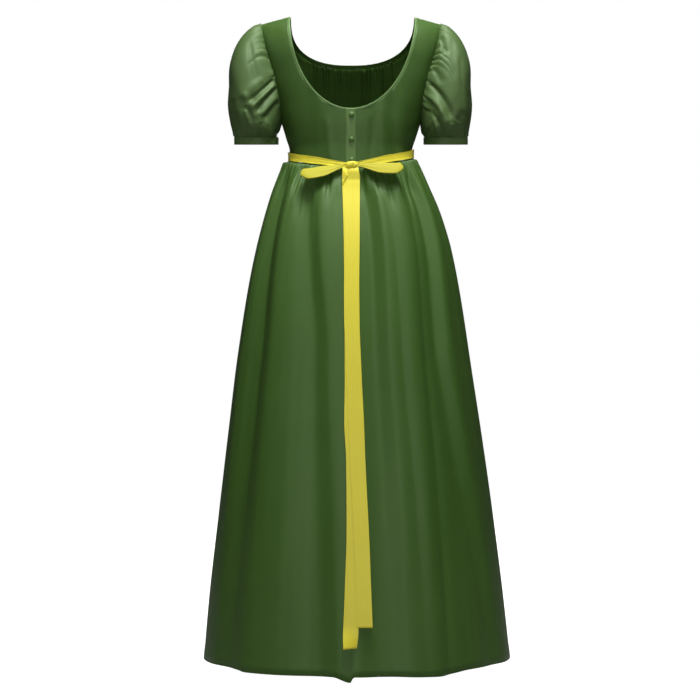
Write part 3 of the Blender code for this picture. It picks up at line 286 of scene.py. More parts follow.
# Creases of bodice and sleeves, between two places seen from behind. Bow bends one sideways in its
# middle. For the sleeves, x is the distance from the gown's middle plane.
Line = namedtuple("Line", "facing x_start z_start x_end z_end rise spread_start spread_end bow", defaults=[0])
BODICE_CREASES = halves(Line, back=(
    (52, -225, 42, -322, 1.6, 9, 9),
    (92, -150, 84, -318, -1.8, 16, 16),
    (130, -196, 112, -310, 1.4, 12, 12),
    (146, -232, 120, -262, -1.3, 7, 7),
    (-48, -222, -40, -322, -1.4, 8, 8),
    (-66, -196, -70, -320, 2, 9, 9),
    (-84, -180, -92, -318, -1.7, 8, 8),
    (-108, -170, -106, -316, 1.6, 9, 9),
    (-130, -196, -118, -312, -1.4, 9, 9),
    (-146, -232, -122, -258, -1.3, 7, 7),
    (160, -24, 152, -150, -1, 14, 14),
    (-160, -24, -152, -150, 0.9, 12, 12),
), front=(
    (120, -130, 70, -205, -1.6, 13, 13),
    (-120, -130, -70, -205, -1.5, 12, 12),
    (146, -232, 104, -214, 1.5, 9, 9),
    (-146, -232, -106, -218, 1.4, 8, 8),
))
SLEEVE_FOLDS = {1: halves(Line, back=(
    (215, -64, 194, -158, -3.2, 4, 9, 3),
    (188, -143, 230, -180, 2.8, 7, 12),
    (166, -143, 217, -192, -5.5, 4, 6, -3),
    (162, -152, 210, -204, 4, 4, 6),
    (160, -162, 199, -212, -5.5, 4, 5.5),
    (157, -176, 188, -218, 3.2, 4, 5.5),
    (153, -187, 183, -230, -4.5, 4, 8),
    (229, -176, 201, -226, 3, 8, 8, -5),
    (226, -202, 210, -236, -1.8, 6, 8, -4),
    (223, -210, 213, -243, 3, 4, 5),
    (252, -186, 240, -244, -3, 7, 8, 4),
    (178, -224, 170, -262, 2.4, 4, 5),
    (190, -236, 186, -264, -2, 5, 6),
), front=(
    (214, -66, 190, -160, -3.2, 5, 9, -3),
    (168, -140, 222, -190, -5, 4, 7, 3),
    (176, -132, 232, -176, 3.6, 5, 10, 2),
    (158, -166, 200, -220, 4, 4, 7, 3),
    (154, -182, 186, -234, -4.5, 4, 7),
    (240, -150, 214, -226, 3.6, 8, 9, 6),
    (250, -176, 232, -250, -3.2, 7, 8, 4),
)), -1: halves(Line, back=(
    (189, -58, 190, -112, 3, 5, 8),
    (191, -46, 200, -86, -3, 3.5, 6),
    (216, -58, 218, -138, -1.8, 6, 9),
    (232, -96, 235, -166, -1.6, 4, 5),
    (176, -118, 192, -150, -3.2, 5, 8),
    (167, -152, 212, -226, -6, 5, 10, 5),
    (163, -174, 205, -246, 5, 5, 9, 6),
    (160, -204, 194, -264, -4, 4, 7, 5),
    (155, -192, 184, -262, 3, 3.5, 4.5, 5),
    (226, -232, 240, -212, -3, 8, 8),
    (253, -170, 246, -252, -3, 6, 8, 3),
    (213, -238, 210, -264, 2.2, 4, 5),
), front=(
    (210, -60, 192, -150, -3, 5, 9, 3),
    (166, -146, 216, -206, -5, 4, 8, 4),
    (172, -134, 228, -188, 3.6, 5, 10, 3),
    (157, -176, 198, -240, 4, 4, 8, 4),
    (154, -196, 184, -252, -4, 4, 7),
    (238, -160, 212, -236, 3.4, 8, 9, 5),
    (250, -180, 234, -248, -3, 7, 8, 4),
))}


# --- small tools ---
def lerp(a, b, t):
    return a + (b - a) * t


def clamp(value, low=0.0, high=1.0):
    return np.clip(value, low, high)


def ease(t):
    """0 to 1 with a level start and end."""
    t = clamp(t)
    return t * t * (3 - 2 * t)


def near(distance, start, reach):
    """Rises within a short start from an edge, then fades over a reach."""
    return ease(distance / start) * np.exp(-distance / reach)


def pleat(phase, crisp):
    """Round ridges of height 1 with narrow valleys of depth 1 between them."""
    return 2 * np.abs(np.cos(phase / 2)) ** crisp - 1


def power(value, exponent):
    """A power that keeps its sign."""
    return np.sign(value) * np.abs(value) ** exponent


def bell(distance, spread):
    """A soft ridge of height 1."""
    return np.exp(-((distance / spread) ** 2))


def ridge(distance, spread, sharp):
    """A fold of height 1 with a soft crest and feet. Sharp narrows its right (below 0) or left side."""
    side = np.where(distance * sharp <= 0, 1.0, 1.0 - FOLD_SHARP * abs(sharp))
    slope = np.hypot(distance / (spread * side), FOLD_CREST) - FOLD_CREST
    return np.log1p(np.exp(FOLD_FOOT * (1 - slope / FOLD_REACH))) / FOLD_FOOT


def at(x, y, z):
    """Places as one array whose last axis is x, y, z."""
    return np.stack(np.broadcast_arrays(x, y, z), axis=-1).astype(float)


def unit(vectors):
    return vectors / np.maximum(np.linalg.norm(vectors, axis=-1, keepdims=True), 1e-9)


def level(points):
    """Outwards from the gown's upright axis."""
    return points * (1, 1, 0)


def moved(points, out, distance):
    return points + out * np.asarray(distance)[..., None]


def noise(x, y, seed, period=None):
    """Smooth uneven values from -1 to 1, about one for each unit square, the same each run."""
    column, row = np.floor(x), np.floor(y)

    def corner(i, j):
        i = np.mod(i, period) if period else i
        value = np.sin(i * 127.1 + j * 311.7 + seed * 74.7) * 43758.5453
        return 2 * (value - np.floor(value)) - 1

    across, up = ease(x - column), ease(y - row)
    low = lerp(corner(column, row), corner(column + 1, row), across)
    high = lerp(corner(column, row + 1), corner(column + 1, row + 1), across)
    return lerp(low, high, up)


def ring_noise(turns, count, seed, shift=0.0, along=0.0):
    """Uneven values, count of them round a ring, where turns runs from 0 to 1."""
    return noise(turns * count + shift, along, seed, count)


def curves(rows):
    """For each column but the first, a smooth function of the first one."""
    xs, *columns = np.array(sorted(rows), dtype=float).T
    return [curve(xs, ys) for ys in columns]


def curve(xs, ys):
    """A smooth function through these values, which stays between each two neighbours."""
    slopes = np.diff(ys) / np.diff(xs)
    before, after = slopes[:-1], slopes[1:]
    total = np.where(before * after > 0, before + after, 1.0)
    inside = np.where(before * after > 0, 2 * before * after / total, 0.0)
    tangents = np.concatenate((slopes[:1], inside, slopes[-1:]))

    def found(x):
        x = clamp(x, xs[0], xs[-1])
        k = clamp(np.searchsorted(xs, x) - 1, 0, len(xs) - 2)
        width, rise = xs[k + 1] - xs[k], ys[k + 1] - ys[k]
        start, end = width * tangents[k], width * tangents[k + 1]
        t = (x - xs[k]) / width
        return ys[k] + t * (start + t * (3 * rise - 2 * start - end + t * (start + end - 2 * rise)))

    return found


def line_creases(lines, facing, x, z, starts, ends, soft):
    """Creases along lines. Starts and ends say how fast they rise and fade, soft how far past the ends."""
    total = 0 * x
    for line in lines:
        run = np.array((line.x_end - line.x_start, line.z_end - line.z_start))
        length = np.hypot(*run)
        right, up = x - line.x_start, z - line.z_start
        share = (right * run[0] + up * run[1]) / length**2
        along = clamp(share)
        off = (right * run[1] - up * run[0]) / length + line.bow * 4 * along * (1 - along)
        fade = ease(share * starts + soft) * ease((1 - share) * ends + soft)
        rise = line.rise * fade * bell(off, lerp(line.spread_start, line.spread_end, along))
        total = total + np.where(facing == line.facing, rise, 0.0)
    return total


# --- meshes ---
def grid(rows, columns):
    """Shares 0 to 1 across and along a grid, as two arrays of rows by columns."""
    return np.meshgrid(np.linspace(0, 1, columns + 1), np.linspace(0, 1, rows + 1))


def flat_map(points):
    """How far each point is along its row and its column of cloth, in metres."""
    across = np.linalg.norm(np.diff(points, axis=1), axis=-1).cumsum(axis=1)
    along = np.linalg.norm(np.diff(points, axis=0), axis=-1).cumsum(axis=0)
    return np.stack((np.pad(across, ((0, 0), (1, 0))), np.pad(along, ((1, 0), (0, 0)))), axis=-1) * MM


def mesh_of(name, blocks, outward):
    """One mesh from blocks of points that meet. Outward gives a rough outside direction for points."""
    corners, faces, maps = [], [], []
    count = 0
    for points in blocks:
        number = np.arange(points[..., 0].size).reshape(points.shape[:2])
        cells = (number[:-1, :-1], number[:-1, 1:], number[1:, 1:], number[1:, :-1])
        cells = np.stack(cells, axis=-1).reshape(-1, 4)
        places = points.reshape(-1, 3)
        a, b, c, d = (places[cells[:, k]] for k in range(4))
        if np.sum(np.cross(c - a, d - b) * outward(places[cells].mean(axis=1))) < 0:
            cells = cells[:, ::-1]
        corners.append(places)
        faces.append(count + cells)
        maps.append(flat_map(points).reshape(-1, 2))
        count += len(places)
    corners, faces, maps = np.concatenate(corners), np.concatenate(faces), np.concatenate(maps)
    mesh = bpy.data.meshes.new(f"fine_{name}")
    mesh.from_pydata((corners * MM).tolist(), [], faces.tolist())
    layer = mesh.uv_layers.new(name="cloth")
    layer.uv.foreach_set("vector", maps[faces.ravel()].astype(np.float32).ravel())
    weld(mesh)
    return mesh


def weld(mesh):
    """Joins points that lie on each other and drops faces without area."""
    work = bmesh.new()
    work.from_mesh(mesh)
    bmesh.ops.remove_doubles(work, verts=work.verts, dist=WELD_GAP * MM)
    bmesh.ops.dissolve_degenerate(work, edges=work.edges, dist=WELD_GAP * MM / 2)
    work.to_mesh(mesh)
    work.free()


def show(mesh, materials):
    """A visible piece that rides on the gown."""
    mesh.shade_smooth()
    piece = bpy.data.objects.new(mesh.name, mesh)
    bpy.context.scene.collection.objects.link(piece)
    for surface in materials:
        mesh.materials.append(surface)
    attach(piece, "root")
    return piece


def solid(name, blocks, outward, materials):
    """A piece that stands for the CAD node of its name."""
    piece = show(mesh_of(name, blocks, outward), materials)
    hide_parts(name)
    return piece


def shell(name, blocks, outward, materials, thickness=CLOTH):
    """Such a piece with a wall, inwards, whose wrong side has the second material if there is one."""
    piece = solid(name, blocks, outward, materials)
    wall = piece.modifiers.new("wall", "SOLIDIFY")
    wall.thickness = thickness * MM
    wall.offset = -1
    wall.use_even_offset = False
    wall.material_offset = len(materials) - 1
    return piece


# --- the bodice's form ---
bodice_half_width, bodice_back, bodice_front = curves(BODICE)
armhole_edge = curves(ARMHOLE)[0]


def plan(angle):
    """The gown's rounded plan, of half width and depth 1."""
    return power(np.cos(angle), 2 / PLAN_ROUND), power(np.sin(angle), 2 / PLAN_ROUND)


def waist_seam(angle):
    """Height of the waist seam. The angle runs from the wearer's left side through the back."""
    share = 1 - np.abs(np.abs(angle) - PI / 2) / (PI / 2)
    middle = np.where(angle > 0, SEAM_AT_BACK, SEAM_AT_FRONT)
    return lerp(SEAM_AT_SIDE, middle, clamp(share) ** SEAM_CURVE) - SEAM_TILT * np.cos(angle)


def shoulder_height(x):
    return -SHOULDER_SLOPE * np.maximum(0.0, np.abs(x) - NECK_HALF_WIDTH)


def over_shoulder(x, z):
    """Share of the depth that is left where front and back curve together at the shoulder."""
    share = clamp((z - (shoulder_height(x) - SHOULDER_ROUND)) / SHOULDER_ROUND)
    return np.sqrt(np.maximum(0.0, 1 - share * share))


def bodice_depth(facing, z):
    return bodice_back(z) if facing > 0 else bodice_front(z)


def bodice_point(facing, side, u, z):
    """The bodice's outside. u runs from 0 at the centre to 1 at the side."""
    exponent = 2 / PLAN_ROUND
    x = bodice_half_width(z) * np.sin(clamp(u) * PI / 2) ** exponent
    across = np.maximum(0.0, np.cos(clamp(u) * PI / 2)) ** exponent
    return at(side * x, facing * (bodice_depth(facing, z) * across * over_shoulder(x, z)), z)


def bodice_out(facing, points):
    """The level direction straight out of the bodice's cloth."""
    z = points[..., 2]
    x = points[..., 0] / bodice_half_width(z)
    y = np.sqrt(np.maximum(0.0, 1 - clamp(np.abs(x)) ** PLAN_ROUND))
    return unit(at(power(x, 1.25) / bodice_half_width(z), facing * y / bodice_depth(facing, z), 0))


def u_at(x, z):
    share = clamp(np.abs(x) / bodice_half_width(z))
    return np.arcsin(share ** (PLAN_ROUND / 2)) * 2 / PI


def bodice_at(facing, side, x, z):
    """The bodice's outside at a distance x from the gown's middle plane."""
    return bodice_point(facing, side, u_at(x, z), z)


def raised(facing, points, rise):
    return moved(points, bodice_out(facing, points), rise)


def off_bodice(facing, x, z, away):
    """A place seen from behind or before, moved straight out from the bodice's cloth."""

    def on(x, z):
        return bodice_at(facing, 1, x, z) * at(np.where(x < 0, -1, 1), 1, 1)

    step = 0.5
    look = unit(np.cross(on(x + step, z) - on(x - step, z), on(x, z + step) - on(x, z - step)))
    look = look * np.where(look[..., 1:2] * facing < 0, -1, 1)
    return moved(on(x, z), look, away)


def keep_behind(points, facing, gap):
    """Keeps the half that faces back behind the gown's middle plane, and the other before it."""
    points[..., 1] = facing * np.maximum(facing * points[..., 1], gap)


def neck_edge(facing, share):
    """(x, z) of a neckline's free edge, from the centre at share 0 to the neck point at share 1."""
    back, front = (BACK_NECK_DEPTH, BACK_NECK_ROUND), (FRONT_NECK_DEPTH, FRONT_NECK_ROUND)
    depth, roundness = back if facing > 0 else front
    turn = (1 - clamp(share)) * PI / 2
    return NECK_HALF_WIDTH * np.cos(turn) ** (2 / roundness), -depth * np.sin(turn) ** (2 / roundness)


def neckline(facing, side, share, reach):
    """(distance from the centre, z) of a line beside a neckline, that far into the cloth."""
    x, z = neck_edge(facing, share)
    x_before, z_before = neck_edge(facing, share - 0.01)
    x_after, z_after = neck_edge(facing, share + 0.01)
    along = np.hypot(x_after - x_before, z_after - z_before)
    x = x + reach * (z_after - z_before) / along - side * NECK_SHIFT * share**2
    z = z - reach * (x_after - x_before) / along
    return x, np.minimum(z, shoulder_height(x))


# --- bodice panels ---
# The corners are where the panel's middle block ends, as shares of the neckline and the waist seam.
# Columns count the front's gathers from its middle outwards. Steps and rows are the mesh's.
Panel = namedtuple("Panel", "facing band inner_columns inner_steps neck_corner waist_corner")
BACK_PANEL = Panel(1, BINDING_WIDTH, 5, 36, 0.42, 0.42)
FRONT_PANEL = Panel(-1, NECK_BAND_WIDTH, NECK_GATHERS, 100, 0.45, 0.50)
OUTER_COLUMNS = 5
OUTER_STEPS = 36
LOW_STEPS = 36
HIGH_STEPS = 56
HIGH_ROWS = ARMHOLE_STEPS + 1


def armhole_height(share):
    """Height along the armhole, from the underarm at share 0 to the shoulder at share 1."""
    top = shoulder_height(NECK_HALF_WIDTH + SHOULDER_LENGTH)
    return lerp(UNDERARM, top, (1 - np.cos(clamp(share) * PI)) / 2)


def high_place(panel, side, share, row):
    """(u, z) in the high part, on straight lines from neckline to armhole."""
    share = 1 - (1 - share) ** 2
    along = lerp(panel.neck_corner, 1.0, row / HIGH_ROWS)
    neck_x, neck_z = neckline(panel.facing, side, along, panel.band)
    side_z = lerp(UNDERARM - CHEST_DROP, UNDERARM, clamp(row))
    arm_z = np.where(row < 1, side_z, armhole_height((row - 1) / ARMHOLE_STEPS))
    arm_x = np.where(row < 1, bodice_half_width(arm_z), armhole_edge(arm_z))
    x, z = lerp(neck_x, arm_x, share), lerp(neck_z, arm_z, share)
    return u_at(x, z), z


def filled(bottom, top, left, right, s, t):
    """Places inside four edges, each a function of 0 to 1 that gives (u, z)."""
    found = []
    for k in (0, 1):
        across = lerp(left(t)[k], right(t)[k], s)
        along = lerp(bottom(s)[k], top(s)[k], t)
        corners = lerp(lerp(bottom(0.0)[k], bottom(1.0)[k], s), lerp(top(0.0)[k], top(1.0)[k], s), t)
        found.append(across + along - corners)
    return found


def straight(start, end):
    return lambda t: (lerp(start[0], end[0], t), lerp(start[1], end[1], t))


def panel_blocks(panel, side):
    """Half a panel as (column, share up, u, z): low by the centre, low by the side, then high."""

    def neck(share):
        x, z = neckline(panel.facing, side, share * panel.neck_corner, panel.band)
        return u_at(x, z), z

    def seam(u):
        angle = PI / 2 - side * u * PI / 2
        return u, waist_seam(angle if panel.facing > 0 else -angle) + WAIST_SEAM_GAP

    def chest(share):
        return high_place(panel, side, share, 0.0)

    rise = straight(seam(panel.waist_corner), neck(1.0))
    middle = straight(seam(0.0), neck(0.0))
    side_seam = straight(seam(1.0), chest(1.0))
    s, t = grid(LOW_STEPS, panel.inner_steps)
    inner = filled(lambda s: seam(s * panel.waist_corner), neck, middle, rise, s, t)
    yield s * panel.inner_columns, t, *inner
    s, t = grid(LOW_STEPS, OUTER_STEPS)
    outer = filled(lambda s: seam(lerp(panel.waist_corner, 1.0, s)), chest, rise, side_seam, s, t)
    yield panel.inner_columns + s * OUTER_COLUMNS, t, *outer
    s, t = grid(HIGH_STEPS, OUTER_STEPS)
    yield panel.inner_columns + s * OUTER_COLUMNS, 0 * t, *high_place(panel, side, s, t * HIGH_ROWS)


def front_gathers(column, up, side):
    """Uneven gathers under the front's neck band and over its waist seam."""
    inside = ease((NECK_GATHERS + 1 - column) / 7)
    column = side * column + 0.6 * noise(side * column * 0.3, up * 2.5, 14)
    uneven = noise(column * 0.45, 0, 3)
    fine = noise(column * 1.9, 0, 6)
    reach = 0.30 + 0.28 * noise(column * 0.8 + 9, 0, 5)
    above_belt = ease((up - 0.06) / 0.12) * near(up, 0.14, 0.7 * reach)
    strength = near(1 - up, 0.03, reach) * ease(up / 0.14) + 0.7 * above_belt
    pinch = pleat(PI * (column + 1.4 * uneven), 0.8)
    return inside * strength * (2.6 * (1 + 0.8 * uneven) * pinch + 1.7 * fine)


def bodice_relief(facing, points):
    """Soft creases of the bodice, none on the shoulder's edge."""
    x, z = points[..., 0], points[..., 2]
    creased = line_creases(BODICE_CREASES, facing, x, z, 4, 4, 0.3)
    return (0.35 * noise(x / 21, z / 34, 7) + creased) * over_shoulder(x, z)


def bodice_panel(name, panel, sides, surfaces):
    blocks = []
    for side in sides:
        for column, up, u, z in panel_blocks(panel, side):
            points = bodice_point(panel.facing, side, u, z)
            points = raised(panel.facing, points, bodice_relief(panel.facing, points))
            if panel is FRONT_PANEL:
                points[..., 1] -= front_gathers(column, up, side)
            keep_behind(points, panel.facing, SEAM_GAP / 3)
            blocks.append(points)
    return shell(name, blocks, lambda p: bodice_out(panel.facing, p), surfaces)


# --- bands, binding and buttons ---
def edging(name, panel, sides, roll, surfaces):
    """A rounded band that carries the panel's cloth on up to the neckline."""
    runs = []
    for side in sides:
        place, share = grid(*MESH["edging"])
        x, z = neckline(panel.facing, side, share, panel.band * place)
        pucker = 0.16 * np.cos(share * 150 + 3 * noise(share * 20, 0, 2)) * np.sin(place * PI)
        rise = roll * np.sqrt(np.maximum(0.0, 1 - (2 * place - 1) ** 4)) + pucker
        points = raised(panel.facing, bodice_at(panel.facing, side, x, z), rise)
        keep_behind(points, panel.facing, SEAM_GAP / 3)
        if len(sides) == 1:
            points[..., 0] = side * np.maximum(side * points[..., 0], SEAM_GAP / 4)
        runs.append(points)
    return shell(name, runs, lambda p: bodice_out(panel.facing, p), surfaces, BINDING_CLOTH)


def close_at_edges(share):
    """From 1 at one edge to -1 at the other, in finer steps near both."""
    return np.cos(PI * share)


def button_band_point(across, up, away):
    """A place on the button band: across -1 to 1, up 0 to 1."""
    x = BUTTON_BAND_ACROSS + across * BUTTON_BAND_WIDTH / 2
    z = lerp(waist_seam(PI / 2) + WAIST_SEAM_GAP, BUTTON_BAND_TOP, up)
    return off_bodice(1, x, z, LAYER_GAP + CLOTH + away)


def button_band(surfaces):
    s, t = grid(*MESH["button_band"])
    across = -close_at_edges(s)
    drag = 0
    for height in BUTTON_LEVELS:
        share = (height - SEAM_AT_BACK) / (-BACK_NECK_DEPTH - SEAM_AT_BACK)
        drag = drag - 0.35 * bell(t - share, 0.05) * bell(across, 0.5)
    ripple = 0.18 * noise(across * 2, t * 11, 4)
    points = button_band_point(across, t, drag + ripple - BAND_EDGE_DIP * across**6)
    return shell("button_band", [points], lambda p: bodice_out(1, p), surfaces)


# Radius and height of a covered button's outline, as shares of its own.
BUTTON_PROFILE = (
    (0.0, 1.0), (0.22, 0.985), (0.42, 0.93), (0.6, 0.83), (0.76, 0.69), (0.88, 0.53), (0.96, 0.38),
    (1.0, 0.24), (0.985, 0.14), (0.93, 0.06), (0.8, 0.015), (0.55, 0.0), (0.0, 0.0),
)


def button(name, height, surfaces):
    """A covered button: a low dome, its cloth drawn in under the rim."""
    seat, above = (off_bodice(1, BUTTON_ACROSS, height, 2 * LAYER_GAP + CLOTH + up) for up in (0, 1))
    out, right = unit(above - seat), np.array((1, 0, 0))
    turn = np.linspace(0, 2 * PI, 49)
    spoke = np.cos(turn)[:, None] * right + np.sin(turn)[:, None] * np.cross(out, right)
    rings = []
    for radius, rise in BUTTON_PROFILE:
        tuck = 1 + 0.02 * np.cos(turn * 12) * ease((0.5 - rise) / 0.3) * ease(radius)
        rings.append(seat + spoke * (radius * tuck * BUTTON_RADIUS)[:, None] + out * rise * BUTTON_HEIGHT)
    middle = seat + out * BUTTON_HEIGHT / 2
    solid(name, [np.stack(rings)], lambda p: p - middle, surfaces)


# --- sleeves ---
sleeve_inner, sleeve_outer, sleeve_depth = curves(SLEEVE)


def armhole_point(side, around):
    """The armhole's edge. Around runs from the shoulder through the back to the underarm."""
    z = armhole_height(1 - np.abs(np.mod(around + PI, 2 * PI) - PI) / PI)
    back, front = (bodice_at(facing, side, armhole_edge(z), z) for facing in (1, -1))
    return np.where(np.sin(around)[..., None] >= 0, back, front)


def sleeve_angle(along):
    return lerp(SLEEVE[0].angle, SLEEVE[-1].angle, along)


def sleeve_middle(side, along):
    angle = sleeve_angle(along)
    reach = (sleeve_inner(angle) + sleeve_outer(angle)) / 2
    turn = np.radians(angle)
    x = SLEEVE_PIVOT_X + reach * np.sin(turn) + SLEEVE_SPREAD[side] * np.sin(2 * turn)
    return at(side * x, -ARM_FORWARD * along, SLEEVE_PIVOT_Z + reach * np.cos(turn))


def sleeve_form(side, around, along):
    """The smooth puff, without gathers or folds."""
    angle = sleeve_angle(along)
    turn = np.radians(angle)
    square = lerp(SLEEVE_ROUND, CUFF_ROUND, along**4)
    reach = (sleeve_outer(angle) - sleeve_inner(angle)) / 2 * power(np.cos(around), square)
    depth = sleeve_depth(angle) * power(np.sin(around), square)
    lift = -CUFF_TILT * depth * along**2
    puff = sleeve_middle(side, along) + at(side * reach * np.sin(turn), depth, reach * np.cos(turn) + lift)
    hold = (1 - clamp(along / 0.22)) ** 2
    return lerp(puff, armhole_point(side, around), hold[..., None])


def sleeve_relief(side, around, along, points):
    """Uneven gathers at the cap and the cuff, and the folds between them."""
    turns = around / (2 * PI)
    from_cuff = 1 - along
    crown = clamp(0.5 + 0.75 * np.cos(around))
    outside = 0.35 + 0.65 * crown
    uneven = ring_noise(turns, SLEEVE_GATHERS, 11 + side)
    wave = pleat(around * SLEEVE_GATHERS + 1.1 * uneven, 0.9)
    fine = np.cos(around * 2 * SLEEVE_GATHERS + 2 * uneven)
    cap_reach = 0.07 + 0.04 * ring_noise(turns, 32, 5 + side, 0.5)
    cap = crown * (2.4 * wave * near(along, 0.035, cap_reach) + 1.2 * fine * near(along, 0.035, 0.04))
    patch = ring_noise(turns, SLEEVE_PUCKERS, 15 + side)
    pucker = 0.8 - 2.2 * np.abs(np.cos(around * SLEEVE_PUCKERS / 2 + 2.2 * uneven + 9 * along)) ** 5
    seam_crown = clamp(0.85 + 0.6 * np.cos(around)) * (1 + 0.6 * patch)
    cap = cap + 3.0 * seam_crown * pucker * near(along, 0.008, 0.036 + 0.03 * patch)
    cuff_reach = 0.10 + 0.06 * ring_noise(turns, 24, 8 + side, 0.5)
    cuffward = 2.2 * wave * near(from_cuff, 0.035, cuff_reach) + 1.2 * fine * near(from_cuff, 0.035, 0.05)
    facing, x, z = np.where(np.sin(around) >= 0, 1, -1), side * points[..., 0], points[..., 2]
    creased = line_creases(SLEEVE_FOLDS[side], facing, x, z, 5, 3, 0.5)
    ends = ease(np.abs(np.sin(around)) / 0.3) * ease(along / 0.02) * ease(from_cuff / 0.06)
    soft = 0.45 * ease(along / 0.1) * ease(from_cuff / 0.1) * ring_noise(turns, 18, 13 + side, 0, along * 7)
    return cap + outside * (cuffward + soft) + ends * creased


def sleeve(name, side, surfaces):
    turns, shares = grid(*MESH["sleeve"])
    around = turns * 2 * PI
    along = lerp(shares, ease(shares), 0.45)
    points = sleeve_form(side, around, along)
    outward = unit(points - sleeve_middle(side, along))
    points = moved(points, outward, sleeve_relief(side, around, along, points))
    points[:, -1] = points[:, 0]
    middle = sleeve_middle(side, 0.45)
    return shell(name, [points], lambda p: p - middle, surfaces)


def cuff_point(side, around, down, away):
    """A place on the cuff's outside: around as on the sleeve, down 0 to 1, moved out by away."""
    last = SLEEVE[-1]
    half = (last.outer - last.inner) / 2
    x, y = half * power(np.cos(around), CUFF_ROUND), last.depth * power(np.sin(around), CUFF_ROUND)
    spoke = at(side * x, y, 0)
    drop = at(0, 0, CUFF_HEIGHT * down + CUFF_TILT * y - CUFF_LAP * (1 - down))
    return moved(sleeve_middle(side, 1) + spoke - drop, unit(spoke), CUFF_STAND_OFF + away)


def cuff(name, side, surfaces):
    turns, down = grid(*MESH["cuff"])
    roll = -0.6 * (2 * down - 1) ** 6
    ripple = 0.3 * ring_noise(turns, 26, 6 + side, 0, down * 1.5) * np.sin(down * PI)
    points = cuff_point(side, turns * 2 * PI, down, roll + ripple)
    points[:, -1] = points[:, 0]
    middle = sleeve_middle(side, 1)
    return shell(name, [points], lambda p: level(p - middle), surfaces, CUFF_CLOTH)


# --- skirt ---
skirt_half_width, skirt_back, skirt_front, skirt_shift = curves(SKIRT)
hem_drop = curves(HEM_DROPS)[0]
FULL_FALL = SKIRT[-1].fall


def angle_on_ring(place):
    return np.arccos(clamp(power(place, PLAN_ROUND / 2), -1.0, 1.0))


def from_line(angle, place, facing, fall):
    """Distance along the ring from a line at that place on its half, above 0 where the angle is greater."""
    around = (skirt_half_width(fall) + skirt_back(fall)) / 2
    return (np.mod(angle - facing * angle_on_ring(place) + PI, 2 * PI) - PI) * around


def long_folds(angle, fall):
    """How far the long folds push the skirt out or in."""
    share = fall / FULL_FALL
    upper = share < FOLD_MIDDLE
    down, below = share / FOLD_MIDDLE, (share - FOLD_MIDDLE) / (1 - FOLD_MIDDLE)
    total = 0 * angle
    for fold in FOLDS:
        place = lerp(fold.waist, fold.middle, ease(down)), lerp(fold.middle, fold.hem, below)
        rise = lerp(fold.rise_top, fold.rise_mid, down), lerp(fold.rise_mid, fold.rise_hem, ease(below))
        spread = lerp(fold.spread_top, fold.spread_hem, share**0.6)
        distance = from_line(angle, np.where(upper, *place), fold.facing, fall)
        total = total + np.where(upper, *rise) * ridge(distance, spread, -fold.facing * fold.sharp)
    return ease((fall - 6) / 60) * FOLD_DEPTH * total


def creases(angle, fall):
    """The finer creases, listed in their table."""
    total = 0 * angle
    for crease in SKIRT_CREASES:
        share = (fall - crease.start_fall) / (crease.end_fall - crease.start_fall)
        place = lerp(crease.start_place, crease.end_place, clamp(share))
        spread = lerp(crease.spread_start, crease.spread_end, clamp(share))
        ends = ease((fall - crease.start_fall) / 6) * ease((1 - share) * 1.8)
        total = total + crease.rise * ends * bell(from_line(angle, place, crease.facing, fall), spread)
    return total


def gathers(angle, fall):
    """Uneven gathers at the waist, which join in pairs further down."""
    turns = angle / (2 * PI)
    uneven = 0.35 * np.sin(5 * angle + 0.7) + 0.25 * np.sin(11 * angle + 2.1)
    jitter = ring_noise(turns, WAIST_GATHERS, 21)
    fine = pleat(WAIST_GATHERS * angle + uneven + 0.9 * jitter, 0.85)
    paired = np.cos(WAIST_GATHERS / 2 * angle + uneven + 0.8 + 0.6 * jitter)
    tiny = np.cos(2 * WAIST_GATHERS * angle + 3 * jitter)
    strength = 0.85 + 0.3 * np.sin(7 * angle + 1.1) + 0.25 * jitter
    reach = 34 + 16 * ring_noise(turns, WAIST_GATHERS, 22, 0.5)
    long_reach = 58 + 34 * ring_noise(turns, 32, 23, 0.5)
    short = 2.7 * fine * near(fall, 3, reach) + 1.9 * tiny * near(fall, 1.5, 13)
    return strength * (short + 3.0 * paired * near(fall, 30, long_reach))


def hem_relief(fall):
    """The hem's turning, double cloth, stands proud below its line of stitches."""
    above = (FULL_FALL - HEM_WIDTH - fall) / 1.2
    return 0.55 * (1 - ease(above + 0.5)) - 0.35 * bell(above, 1.4)


def ripples(angle, fall):
    """Faint long waves that keep the cloth from looking ruled."""
    turns = angle / (2 * PI)
    wide, narrow = ring_noise(turns, 46, 31, 0, fall / 420), ring_noise(turns, 120, 32, 0, fall / 240)
    return ease((fall - 40) / 200) * (0.9 * wide + 0.35 * narrow)


def skirt_point(angle, fall, away=0.0):
    """The skirt's outside. Angles above 0 are behind, below 0 in front, 0 the wearer's left side."""
    place, across = plan(angle)
    width = skirt_half_width(fall)
    depth = np.where(angle >= 0, skirt_back(fall), skirt_front(fall))
    hem = HEM_LEVEL - hem_drop(place) * np.maximum(across, 0.0)
    z = lerp(waist_seam(angle), hem, fall / FULL_FALL)
    out = unit(at(place / width, across / depth, 0))
    relief = sum(form(angle, fall) for form in (long_folds, gathers, creases, ripples))
    smooth = at(width * place - skirt_shift(fall), depth * across, z)
    return moved(smooth, out, relief + hem_relief(fall) + away)


def skirt_half(name, facing, surfaces):
    turns, shares = grid(*MESH["skirt"])
    fall = FULL_FALL * lerp(shares**1.9, shares, 0.35)
    points = skirt_point(facing * np.maximum(1e-6, turns * PI), fall)
    keep_behind(points, facing, 0.0)
    points[:, [0, -1], 1] = -facing * SEAM_LAP
    return shell(name, [points], level, surfaces)


def fall_at(z):
    """The fall below the waist seam of a height at the centre of the back."""
    seam = waist_seam(PI / 2)
    return clamp((z - seam) / (HEM_LEVEL - seam)) * FULL_FALL


